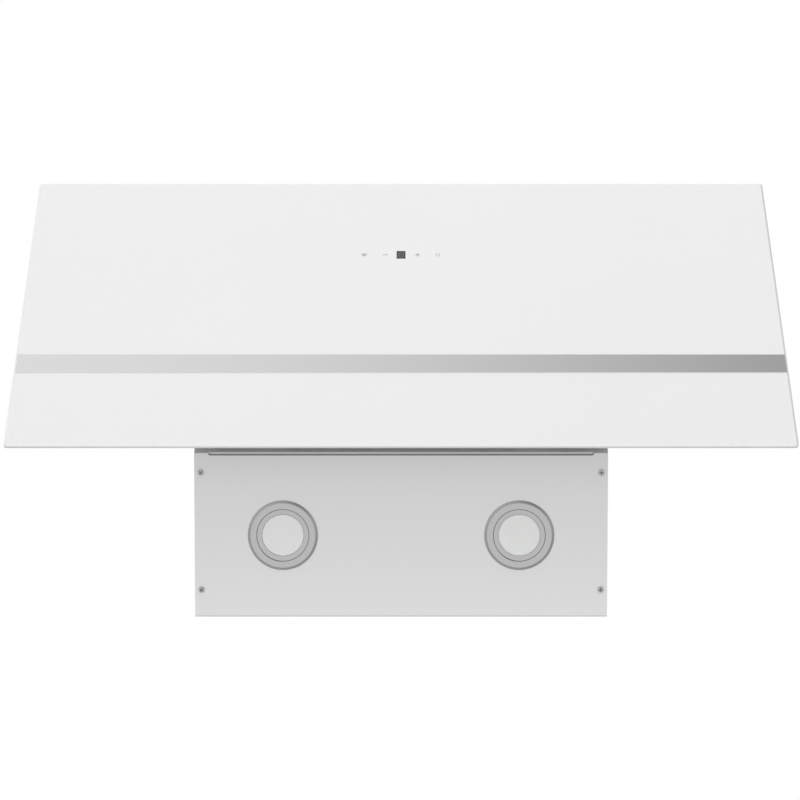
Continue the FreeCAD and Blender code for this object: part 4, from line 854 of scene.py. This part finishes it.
@dataclass(frozen=True)
class ExpandedMetal:
    """Sheet of diamond meshes, flat on XY round its middle, left bare where the latch cup sits."""

    width: float
    length: float
    bare_half_width: float
    bare_from: float
    cell_width: float = 9.0 * MM
    cell_length: float = 5.0 * MM
    strand_width: float = 1.1 * MM
    strand_thick: float = 0.6 * MM
    knot: float = 0.3 * MM

    def mesh(self, levels: Sequence[float]) -> bpy.types.Mesh:
        """Repeat the diamond over the sheet, on several levels.

        Args:
            levels: Heights of the layers.

        Returns:
            The plain mesh.
        """
        base = bpy.data.meshes.new("layer_levels")
        base.from_pydata([(0.0, 0.0, level) for level in levels], [], [])
        tree = NodeTree("expanded_metal")
        columns, rows = int(self.width / self.cell_width), int(self.length / self.cell_length)
        grid = tree.node("GeometryNodeMeshGrid",
                         Size_X=tree.input("Field Width", "Float", columns * self.cell_width),
                         Size_Y=tree.input("Field Length", "Float", rows * self.cell_length),
                         Vertices_X=tree.input("Columns", "Int", columns + 1),
                         Vertices_Y=tree.input("Rows", "Int", rows + 1))
        diamond = tree.node("GeometryNodeCurvePrimitiveQuadrilateral")
        diamond.mode = "KITE"
        half = (self.cell_length + self.knot) / 2
        tree.fill(diamond, Width=self.cell_width + self.knot, Bottom_Height=half, Top_Height=half)
        strand = tree.node("GeometryNodeCurvePrimitiveQuadrilateral", Width=self.strand_width,
                           Height=self.strand_thick)
        cell = tree.node("GeometryNodeCurveToMesh", Curve=diamond.outputs[0], Profile_Curve=strand.outputs[0])
        place = tree.node("GeometryNodeInputPosition")
        parts = tree.node("ShaderNodeSeparateXYZ", Vector=place.outputs[0]).outputs
        aside = tree.math("ABSOLUTE", parts["X"])
        near = tree.under(aside, tree.input("Bare Half Width", "Float", self.bare_half_width))
        high = tree.under(tree.input("Bare From", "Float", self.bare_from), parts["Y"])
        bare = tree.node("FunctionNodeBooleanMath", near, high)
        kept = tree.node("GeometryNodeDeleteGeometry", Geometry=grid.outputs[0], Selection=bare.outputs[0])
        sheet = tree.on_points(kept.outputs[0], cell.outputs[0])
        layers = tree.on_points(tree.source.outputs["Base"], sheet)
        return tree.run(base, layers, FILTER_METAL)


# Sub-assemblies

@dataclass(frozen=True)
class TouchSymbols:
    """Printed lamp, minus, plus and power signs, each drawn round its own middle."""

    lamp_at: float = -44.5 * MM
    minus_at: float = -19.0 * MM
    plus_at: float = 20.0 * MM
    power_at: float = 44.5 * MM
    round_steps: int = 24
    bulb_radius: float = 2.0 * MM
    bulb_rise: float = 0.4 * MM
    bulb_turn: float = 345.0
    foot_half: float = 0.9 * MM
    foot_low: float = -2.9 * MM
    foot_high: float = -2.0 * MM
    ray_from: float = 2.5 * MM
    ray_to: float = 3.7 * MM
    ray_half: float = 0.35 * MM
    ray_angles: tuple[float, ...] = (35.0, 145.0, -35.0, -145.0)
    level_ray_to: float = 3.9 * MM
    level_ray_rise: float = 0.45 * MM
    minus_reach: float = 3.2 * MM
    minus_half: float = 0.65 * MM
    plus_reach: float = 2.7 * MM
    plus_rise: float = 3.0 * MM
    plus_half: float = 0.75 * MM
    power_radius: float = 2.7 * MM
    power_stroke: float = 0.8 * MM
    power_from: float = 125.0
    power_to: float = 415.0
    stem_half: float = 0.4 * MM
    stem_low: float = 0.4 * MM
    stem_high: float = 3.3 * MM

    def strokes(self, row: float) -> list[Outline]:
        """Corners of every stroke, with the signs in their places.

        Args:
            row: Height of the signs' middles, up the slope.

        Returns:
            The outlines.
        """
        signs = ((self.lamp_at, self.lamp()), (self.minus_at, self.minus()), (self.plus_at, self.plus()),
                 (self.power_at, self.power()))
        return [shift(stroke, place, row) for place, strokes in signs for stroke in strokes]

    def ray(self, angle: float) -> Outline:
        """Corners of one slanted ray round the bulb.

        Args:
            angle: Way of the ray from the bulb's middle, in degrees.

        Returns:
            The corners, counterclockwise.
        """
        turn = Matrix.Rotation(math.radians(angle), 2)
        flat = bar(self.ray_from, -self.ray_half, self.ray_to, self.ray_half)
        return [tuple(turn @ Vector(corner) + Vector((0.0, self.bulb_rise))) for corner in flat]

    def lamp(self) -> list[Outline]:
        """Bulb on its foot, with two level rays and four slanted ones.

        Returns:
            The outlines.
        """
        bulb = arc((0.0, self.bulb_rise), self.bulb_radius, 0.0, self.bulb_turn, self.round_steps)
        foot = bar(-self.foot_half, self.foot_low, self.foot_half, self.foot_high)
        low, high = self.level_ray_rise - self.ray_half, self.level_ray_rise + self.ray_half
        right = bar(self.ray_from, low, self.level_ray_to, high)
        left = bar(-self.level_ray_to, low, -self.ray_from, high)
        return [bulb, foot, right, left, *map(self.ray, self.ray_angles)]

    def minus(self) -> list[Outline]:
        """One level bar."""
        return [bar(-self.minus_reach, -self.minus_half, self.minus_reach, self.minus_half)]

    def plus(self) -> list[Outline]:
        """Level bar with a short bar above and below it."""
        half, rise = self.plus_half, self.plus_rise
        return [bar(-self.plus_reach, -half, self.plus_reach, half), bar(-half, half, half, rise),
                bar(-half, -rise, half, -half)]

    def power(self) -> list[Outline]:
        """Open ring with an upright stem.

        Returns:
            The outlines.
        """
        outer, inner = (
            arc((0.0, 0.0), radius, self.power_from, self.power_to, self.round_steps)
            for radius in (self.power_radius, self.power_radius - self.power_stroke))
        stem = bar(-self.stem_half, self.stem_low, self.stem_half, self.stem_high)
        return [outer + list(reversed(inner)), stem]


@dataclass(frozen=True)
class GlassFront:
    """White glass with its steel strip, display and printed touch symbols."""

    print_height: float = 0.04 * MM
    bevel_depth: float = 1.2 * MM
    back_layer: float = 0.1 * MM
    facing_limits: tuple[float, ...] = (0.99, 0.1, -0.99)
    sharp: float = 15.0
    segment_stroke: float = 1.1 * MM
    digit_width: float = 5.0 * MM
    digit_height: float = 8.5 * MM

    def build(self) -> None:
        """Make the glass and what it carries."""
        self.glass()
        low, high = SLOPE.extent("display_window")
        middle, row = (low.x + high.x) / 2, (low.y + high.y) / 2
        tile = finish_mesh(clean_copy("display_window"), "display_tile")
        Piece("display_tile", "display_window").show(tile)
        segments = [shift(segment, middle, row) for segment in self.digit()]
        self.lay_print("digit_segments", "display_window", segments, SEGMENT)
        self.lay_print("touch_symbols", "glass_panel", TouchSymbols().strokes(row), PRINT)
        strip = finish_mesh(clean_copy("steel_strip"), "brushed_strip")
        Piece("brushed_strip", "steel_strip").show(strip)

    def glass(self) -> None:
        """Front face, shallow bevel, ground edge and coated back, each in its own finish."""
        shape = clean_copy("glass_panel")
        low, high = (corner.z for corner in SLOPE.extent("glass_panel"))
        for corner in shape.verts:
            height = (corner.co - SLOPE.origin).dot(SLOPE.out)
            if low + self.back_layer < height < high - self.bevel_depth:
                corner.co += SLOPE.out * (high - self.bevel_depth - height)
        for face in shape.faces:
            facing = face.normal.dot(SLOPE.out)
            face.material_index = sum(facing <= limit for limit in self.facing_limits)
        mesh = finish_mesh(shape, "glass_front", self.sharp)
        Piece("glass_front", "glass_panel").show(mesh, GLASS_BEVEL, GLASS_EDGE, GLASS_BACK)

    def digit(self) -> list[Outline]:
        """Seven unlit segments round the digit's middle.

        Returns:
            The outlines.
        """
        half_x, half_y, stroke = self.digit_width / 2, self.digit_height / 2, self.segment_stroke
        flat = [bar(-half_x + stroke, y - stroke / 2, half_x - stroke, y + stroke / 2)
                for y in (-half_y, 0.0, half_y)]
        tall = [bar(x - stroke / 2, y, x + stroke / 2, y + half_y - stroke)
                for x in (-half_x, half_x) for y in (-half_y + stroke / 2, stroke / 2)]
        return flat + tall

    def lay_print(self, name: str, node: str, outlines: Sequence[Outline], finish: Finish) -> None:
        """Lay thin print on a node's face.

        Args:
            name: Name of the piece.
            node: CAD node that carries the print.
            outlines: Corners as (x, up) on the slope.
            finish: Finish of the print.
        """
        level = SLOPE.extent(node)[1].z
        shape = bmesh.new()
        for outline in outlines:
            raise_outline(shape, outline, level, level + self.print_height)
        shape.transform(SLOPE.matrix())
        Piece(name, node, finish, hides=False).show(finish_mesh(shape, name))


@dataclass(frozen=True)
class Lamp:
    """Recessed spotlight: turned outer ring, sloped inner ring and milky lens."""

    side: str
    corner_round: float = 0.35 * MM
    bore_round: float = 1.2 * MM
    bore_steps: int = 6
    seat_round: float = 0.12 * MM
    seat_gap: float = 0.06 * MM
    ledge_width: float = 2.0 * MM
    rim_shade_from: float = 0.925
    lens_round: float = 0.8 * MM
    lens_round_from: float = -70.0
    lens_ripple: float = 0.12 * MM
    ripple_count: int = 9
    ripple_steps: int = 4

    def build(self) -> None:
        """Make the ring, the inner ring and the lens."""
        low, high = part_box(f"lamp_bezel_{self.side}")
        middle = Matrix.Translation(((low.x + high.x) / 2, (low.y + high.y) / 2, 0.0))
        rim = (high.x - low.x) / 2
        # The bezel's outermost rounding takes the darker rim finish, a painted shade for its dark outline.
        self.show("lamp_bezel", self.bezel(low, high), middle, self.rim_shade_from * rim)
        self.show("lamp_ring", self.inner_ring(), middle)
        self.show("lamp_lens", self.lens(), middle)

    def show(self, kind: str, outline: Outline, middle: Matrix, rim: float = math.inf) -> None:
        """Turn an outline and put it in the place of its CAD node.

        Args:
            kind: First part of the node's name.
            outline: Points as (radius, height).
            middle: Place of the lamp's axis.
            rim: Radius from which the faces have the darker rim finish, a painted shade on the bezel's outer
                rounding.
        """
        node = f"{kind}_{self.side}"
        shape = lathe(outline)
        for face in shape.faces:
            face.material_index = int(face.calc_center_median().xy.length > rim)
        shape.transform(middle)
        more = (LAMP_RIM_SHADE,) if rim < math.inf else ()
        Piece(f"turned_{node}", node).show(finish_mesh(shape, node), *more)

    def bezel(self, low: Vector, high: Vector) -> Outline:
        """Outline of the outer ring.

        Args:
            low: Lowest corner of the CAD ring.
            high: Highest corner of the CAD ring.

        Returns:
            Points as (radius, height).
        """
        rim, face, plate = (high.x - low.x) / 2, low.z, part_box("bottom_plate")[0].z
        x, y = (low.x + high.x) / 2, (low.y + high.y) / 2
        corners = [(math.hypot(corner.x - x, corner.y - y), corner.z)
                   for corner in corners_of(f"lamp_bezel_{self.side}")]
        bore = min(radius for radius, _ in corners)
        tube = max(radius for radius, height in corners if height > high.z - NEAR)
        flat = max(radius for radius, height in corners if height < face + NEAR)
        shoulder = min(height for radius, height in corners if radius > rim - NEAR)
        slant = math.degrees(math.atan2(shoulder - face, rim - flat))
        small, turn = self.corner_round, self.bore_round
        inward = small * math.tan(math.radians(slant / 2))
        upward = small * math.tan(math.radians(45 - slant / 2))
        return [*arc((bore + turn, face + turn), turn, 180, 270, self.bore_steps),
                *arc((flat - inward, face + small), small, -90, slant - 90),
                *arc((rim - small, shoulder + upward), small, slant - 90, 0),
                (rim, plate), (tube, plate), (tube, high.z), (bore, high.z)]

    def inner_ring(self) -> Outline:
        """Outline of the inner ring, from its CAD corners.

        Returns:
            Points as (radius, height).
        """
        low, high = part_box(f"lamp_ring_{self.side}")
        lens_low, lens_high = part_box(f"lamp_lens_{self.side}")
        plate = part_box("bottom_plate")[0].z
        outer, seat = (high.x - low.x) / 2, (lens_high.x - lens_low.x) / 2 + self.seat_gap
        ledge, turn = seat - self.ledge_width, self.seat_round
        cone = math.degrees(math.atan2(plate - low.z, outer - seat))
        return [(outer, low.z), (outer, high.z), (ledge, high.z), (ledge, lens_high.z), (seat, lens_high.z),
                *arc((seat + turn, plate + turn), turn, 180, 270 - cone)]

    def lens(self) -> Outline:
        """Outline of the lens, with shallow rings moulded in its face.

        Returns:
            Points as (radius, height).
        """
        low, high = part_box(f"lamp_lens_{self.side}")
        radius, edge = (high.x - low.x) / 2, self.lens_round
        inner = radius - edge
        steps = self.ripple_steps * self.ripple_count
        waves = (math.cos(math.tau * step / self.ripple_steps) for step in range(1, steps + 1))
        face = [(inner * step / steps, low.z + self.lens_ripple * (1 - wave) / 2)
                for step, wave in enumerate(waves, 1)]
        side = arc((inner, low.z + edge), edge, self.lens_round_from, 0)
        return [(0.0, high.z), (0.0, low.z), *face, *side, (radius, high.z)]


@dataclass(frozen=True)
class Fasteners:
    """Visible screws of the casing, collar and chimney."""

    screw: CrossHeadScrew = CrossHeadScrew()

    def seats(self, node: str, way: Vector | None) -> list[tuple[Vector, Vector]]:
        """Find where each screw of a node sits.

        Args:
            node: CAD node that holds the screws.
            way: Outward way of the heads; left out, each head points away from the middle along X.

        Returns:
            Place under the head and outward way, for each screw.
        """
        found = []
        for corners in solids_of(node):
            centre = sum(corners, Vector()) / len(corners)
            out = way or ACROSS * math.copysign(1.0, centre.x)
            reach = max(corner.dot(out) for corner in corners) - self.screw.head_height
            found.append((centre + out * (reach - centre.dot(out)), out))
        return found

    def build(self) -> None:
        """Set a cross head screw in the place of every CAD screw."""
        template = self.screw.mesh()
        ways = {"bottom_plate_screws": -UP, "frame_screws": SLOPE.out, "collar_screws": UP,
                "chimney_bracket_screws": None}
        for number, (node, way) in enumerate(ways.items(), 1):
            mesh = FastenerSet(f"cross_{node}", template, number).mesh(self.seats(node, way))
            Piece(f"cross_{node}", node).show(mesh)


@dataclass(frozen=True)
class GreaseFilter:
    """Filter cassette: edge channel, layers of expanded metal and the latch in its cup."""

    side: str
    edge_width: float = 0.35 * MM
    layers: int = 3
    margin: float = 6.0 * MM
    rib_count: int = 8
    rib_width: float = 1.4 * MM
    rib_height: float = 0.9 * MM
    groove_edge: float = 4.5 * MM
    groove_length: float = 9.0 * MM
    groove_depth: float = 1.0 * MM

    def build(self) -> None:
        """Make the metal layers, the channel, the cup and the slider with its ribs."""
        self.metal()
        self.ribs()
        for kind in ("filter_frame", "latch_cup", "filter_latch"):
            show_eased(f"{kind}_{self.side}", self.edge_width)

    def ribs(self) -> None:
        """Row of grip ribs across the slider's finger groove."""
        node = f"filter_latch_{self.side}"
        low, high = SLOPE.extent(node)
        step = (high.x - low.x - 2 * self.groove_edge) / self.rib_count
        start = (low.x + self.groove_edge + step / 2, low.y + self.groove_edge + self.groove_length / 2,
                 high.z - self.groove_depth + self.rib_height / 2)
        size = (self.rib_width, self.groove_length, self.rib_height)
        tree = NodeTree(f"grip_ribs_{self.side}")
        line = tree.node("GeometryNodeMeshLine", Count=tree.input("Count", "Int", self.rib_count),
                         Start_Location=tree.input("Start", "Vector", start),
                         Offset=tree.input("Step", "Vector", (step, 0.0, 0.0)))
        rib = tree.node("GeometryNodeMeshCube", Size=tree.input("Rib Size", "Vector", size))
        row = tree.on_points(line.outputs[0], rib.outputs[0])
        mesh = tree.run(bpy.data.meshes.new("rib_base"), row, DARK_PLASTIC)
        mesh.transform(SLOPE.matrix())
        Piece(f"ribs_{node}", node, hides=False).show(mesh)

    def metal(self) -> None:
        """Layers of diamond mesh, bare round the latch cup."""
        node = f"filter_mesh_{self.side}"
        low, high = SLOPE.extent(node)
        cup_low, cup_high = SLOPE.extent(f"latch_cup_{self.side}")
        middle = (low + high) / 2
        margin = self.margin
        sheet = ExpandedMetal(high.x - low.x - margin, high.y - low.y - margin,
                              (cup_high.x - cup_low.x) / 2 + margin, cup_low.y - middle.y - margin / 2)
        gap = (high.z - low.z) / (self.layers + 1)
        mesh = sheet.mesh([low.z + gap * number for number in range(1, self.layers + 1)])
        mesh.transform(SLOPE.matrix() @ Matrix.Translation((middle.x, middle.y, 0.0)))
        Piece(f"metal_{node}", node).show(mesh)


@dataclass(frozen=True)
class RoundedPieces:
    """Pieces that keep their CAD form, with eased edges or smooth turns."""

    eased: tuple[tuple[str, float], ...] = (
        ("control_box", 0.8 * MM), ("control_box_lid", 0.5 * MM), ("touch_housing", 0.4 * MM),
        ("magnet_catches", 0.6 * MM), ("strike_plates", 0.25 * MM))
    turned: tuple[str, ...] = (
        "motor", "motor_shaft", "motor_bracket", "motor_grommets", "capacitor", "cable_gland", "duct_collar",
        "damper_flap_rear", "damper_flap_front", "impeller", "blower_shell_left", "blower_shell_right",
        "hinge_fixed_leaves", "hinge_moving_leaves", "hinge_pins", "panel_bumpers", "lamp_module_left",
        "lamp_module_right", "chimney_bracket", "panel_backing")

    def build(self) -> None:
        """Make the eased and the smooth copies."""
        for node, width in self.eased:
            show_eased(node, width)
        for node in self.turned:
            Piece(f"smooth_{node}", node).show(finish_mesh(clean_copy(node), node))


@dataclass(frozen=True)
class Chimney:
    """Telescopic covers in brushed steel."""

    covers: tuple[str, ...] = ("lower_chimney", "upper_chimney")

    def build(self) -> None:
        """Make both covers with smooth bends."""
        for node in self.covers:
            Piece(f"brushed_{node}", node, CHIMNEY_STEEL).show(finish_mesh(clean_copy(node), node))


@dataclass(frozen=True)
class LipGapShade:
    """Dark felt strip laid over the gap between the frame's lip and the plate; its tone is a painted shade for the
    shadow in that gap.
    """

    width: float = 4.0 * MM
    thick: float = 2.0 * MM
    overlap: float = 1.1 * MM
    sheet: float = 1.6 * MM

    def build(self) -> None:
        """Lay the strip over the gap."""
        corners = corners_of("front_frame")
        floor = min(corner.z for corner in corners)
        lip = [corner for corner in corners if corner.z < floor + NEAR]
        half = max(corner.x for corner in lip) + self.overlap
        start = max(corner.y for corner in lip) - self.overlap
        level = floor + self.sheet
        shape = bmesh.new()
        raise_outline(shape, bar(-half, start, half, start + self.width), level, level + self.thick)
        Piece("lip_seal", "front_frame", FELT_GAP_SHADE, hides=False).show(finish_mesh(shape, "lip_seal"))


@dataclass(frozen=True)
class CasingSheets:
    """Sheet pieces: flat ones that keep their CAD meshes, and the folded side panels."""

    folded: tuple[str, ...] = ("left_side_panel", "right_side_panel")
    bend_round: float = 0.35 * MM
    same_way: float = 0.95

    def build(self) -> None:
        """Give every CAD node its finish and ease the side panels."""
        for node, shown in frame["nodes"].items():
            shown.data.materials.clear()
            dress(shown.data, FRAME_STEEL_AND_FOLD_SHADE if node == "front_frame" else SLOT_FINISHES[NODE_SLOTS[node]])
        for node in self.folded:
            self.side_panel(node)

    def side_panel(self, node: str) -> None:
        """Ease a side panel's bends and give its sloped fold the darker finish of the frame that lies on it, a
        painted shade where the fold shows in the shaded band at the casing's ends.

        Args:
            node: Name of the side panel's CAD node.
        """
        shape = clean_copy(node)
        ease_edges(shape, self.bend_round)
        shape.normal_update()
        for face in shape.faces:
            # Faces of the sloped fold take the darker frame finish: painted shade in the gap behind the glass's
            # lower edge.
            face.material_index = int(face.normal.dot(SLOPE.out) > self.same_way)
        Piece(f"folded_{node}", node).show(finish_mesh(shape, node), FRAME_STEEL_AND_FOLD_SHADE)


# Studio

@dataclass(frozen=True)
class PhotoCamera:
    """Camera below the hood, looking almost straight up, with the wall at the foot of the picture."""

    focal_pixels: float = 2731.0
    picture_pixels: float = 800.0
    sensor: float = 36.0
    farthest: float = 100.0
    aside: float = -1.25 * MM
    before_wall: float = 0.5421
    below_plate: float = 3.0797
    lean: float = 5.45

    def build(self) -> None:
        """Make the camera and choose it."""
        data = bpy.data.cameras.new("photo_camera")
        data.sensor_width = self.sensor
        data.lens = self.sensor * self.focal_pixels / self.picture_pixels
        data.clip_end = self.farthest
        camera = add_object("photo_camera", data)
        lean = math.radians(self.lean)
        ahead = Vector((0.0, math.sin(lean), math.cos(lean)))
        upward = Vector((0.0, -math.cos(lean), math.sin(lean)))
        camera.matrix_world = turn_to(upward, -ahead)
        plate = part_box("bottom_plate")[0].z
        camera.location = (self.aside, -self.before_wall, plate - self.below_plate)
        bpy.context.scene.camera = camera


@dataclass(frozen=True)
class SoftLamp:
    """Wide lamp that neither the camera nor polished pieces show, with its power in watts."""

    name: str
    place: Triple
    target: Triple
    width: float
    height: float
    power: float

    def build(self) -> None:
        """Make the lamp and point it at its target."""
        data = bpy.data.lights.new(self.name, "AREA")
        data.shape = "RECTANGLE"
        data.size, data.size_y = self.width, self.height
        data.energy = self.power
        lamp = add_object(self.name, data)
        lamp.location = self.place
        lamp.rotation_euler = (Vector(self.target) - Vector(self.place)).to_track_quat("-Z", "Y").to_euler()
        lamp.visible_camera = False
        lamp.visible_glossy = False


@dataclass(frozen=True)
class Studio:
    """Even pale surroundings with a darker horizon to the right, a floor far below and soft lamps."""

    light: float = 0.80
    floor_level: float = -5.0
    floor_half: float = 60.0
    floor_glow: float = 0.88
    left_shade: float = 0.05
    right_shade: float = 0.16
    rear_shade: float = 0.2
    front_shade: float = 0.76
    level_span: tuple[float, float] = (0.4, 0.85)
    front_span: tuple[float, float] = (0.3, 0.8)
    right_span: tuple[float, float] = (-0.12, 0.27)
    rear_span: tuple[float, float] = (-0.35, 0.35)
    lamps: tuple[SoftLamp, ...] = (
        SoftLamp("left_light", (-1.3, -3.0, -1.5), (0.0, -0.25, 0.0), 2.0, 2.0, 24.0),
        SoftLamp("right_light", (1.3, -3.0, -1.5), (0.0, -0.25, 0.0), 2.0, 2.0, 23.0),
        SoftLamp("under_light", (0.0, 0.18, -0.42), (0.0, -0.05, -0.17), 1.2, 0.15, 1.1))

    def build(self) -> None:
        """Set the view transform and make the surroundings."""
        bpy.context.scene.view_settings.view_transform = "Standard"
        self.world()
        self.floor()
        for lamp in self.lamps:
            lamp.build()

    def world(self) -> None:
        """White to the eye, a shaded studio to polished metal, and plain soft light to the rest."""
        world = bpy.data.worlds.new("studio")
        bpy.context.scene.world = world
        world.use_nodes = True
        sheet = NodeSheet(world.node_tree)
        sheet.tree.nodes.clear()
        path = sheet.node("ShaderNodeLightPath").outputs
        eye = path["Is Camera Ray"]
        mirrored = sheet.math("MAXIMUM", path["Is Glossy Ray"], path["Is Transmission Ray"])
        plain = sheet.math("SUBTRACT", 1.0, sheet.math("MAXIMUM", mirrored, eye))
        seen = sheet.math("MULTIPLY", mirrored, self.reflected(sheet))
        lit = sheet.math("MULTIPLY", plain, self.light)
        total = sheet.math("ADD", sheet.math("ADD", seen, lit), eye)
        background = sheet.node("ShaderNodeBackground", Color=WHITE, Strength=total)
        sheet.node("ShaderNodeOutputWorld", Surface=background.outputs[0])

    def reflected(self, sheet: NodeSheet) -> Socket:
        """Brightness of the surroundings in polished metal, darkest on the horizon to the front right.

        Args:
            sheet: Tree of the surroundings.

        Returns:
            The value socket.
        """
        coords = sheet.node("ShaderNodeTexCoord")
        parts = sheet.node("ShaderNodeSeparateXYZ", coords.outputs["Generated"]).outputs
        steep = sheet.step(sheet.math("ABSOLUTE", parts["Z"]), self.level_span)
        front = sheet.step(sheet.math("MULTIPLY", parts["Y"], -1.0), self.front_span)
        right = sheet.step(parts["X"], self.right_span)
        rightward = sheet.math("MULTIPLY", right, self.right_shade - self.left_shade)
        rear = sheet.math("MULTIPLY", sheet.step(parts["Y"], self.rear_span), self.rear_shade)
        aside = sheet.math("ADD", sheet.math("ADD", rightward, rear), self.left_shade)
        around = sheet.math("MULTIPLY", sheet.math("SUBTRACT", 1.0, front), aside)
        ahead = sheet.math("MULTIPLY", front, sheet.math("MULTIPLY", right, self.front_shade))
        level = sheet.math("SUBTRACT", 1.0, steep)
        shade = sheet.math("MULTIPLY", level, sheet.math("ADD", around, ahead))
        return sheet.math("SUBTRACT", 1.0, shade)

    def floor(self) -> None:
        """Plain pale floor below the camera."""
        half = self.floor_half
        mesh = bpy.data.meshes.new("floor")
        corners = [(x, y, self.floor_level) for x, y in bar(-half, -half, half, half)]
        mesh.from_pydata(corners, [], [range(len(corners))])
        mesh.materials.append(self.floor_material())
        floor = add_object("floor", mesh)
        floor.visible_glossy = False

    def floor_material(self) -> bpy.types.Material:
        """Pale paint that looks almost white to the eye and still takes a shadow.

        Returns:
            The material.
        """
        paint = FLOOR_PAINT.material()
        sheet = NodeSheet(paint.node_tree)
        nodes = paint.node_tree.nodes
        path = sheet.node("ShaderNodeLightPath")
        share = sheet.math("MULTIPLY", path.outputs["Is Camera Ray"], self.floor_glow)
        glow = sheet.node("ShaderNodeEmission", Color=WHITE)
        blend = sheet.node("ShaderNodeMixShader", share, nodes["Principled BSDF"].outputs[0], glow.outputs[0])
        sheet.fill(nodes["Material Output"], Surface=blend.outputs[0])
        return paint


def main() -> None:
    """Build the studio and dress every sub-assembly."""
    logging.basicConfig(level=logging.INFO, format="%(name)s %(message)s")
    Studio().build()
    PhotoCamera().build()
    CasingSheets().build()
    LipGapShade().build()
    GlassFront().build()
    for side in ("left", "right"):
        Lamp(side).build()
        GreaseFilter(side).build()
    Fasteners().build()
    RoundedPieces().build()
    Chimney().build()


if __name__ == "__main__":
    main()
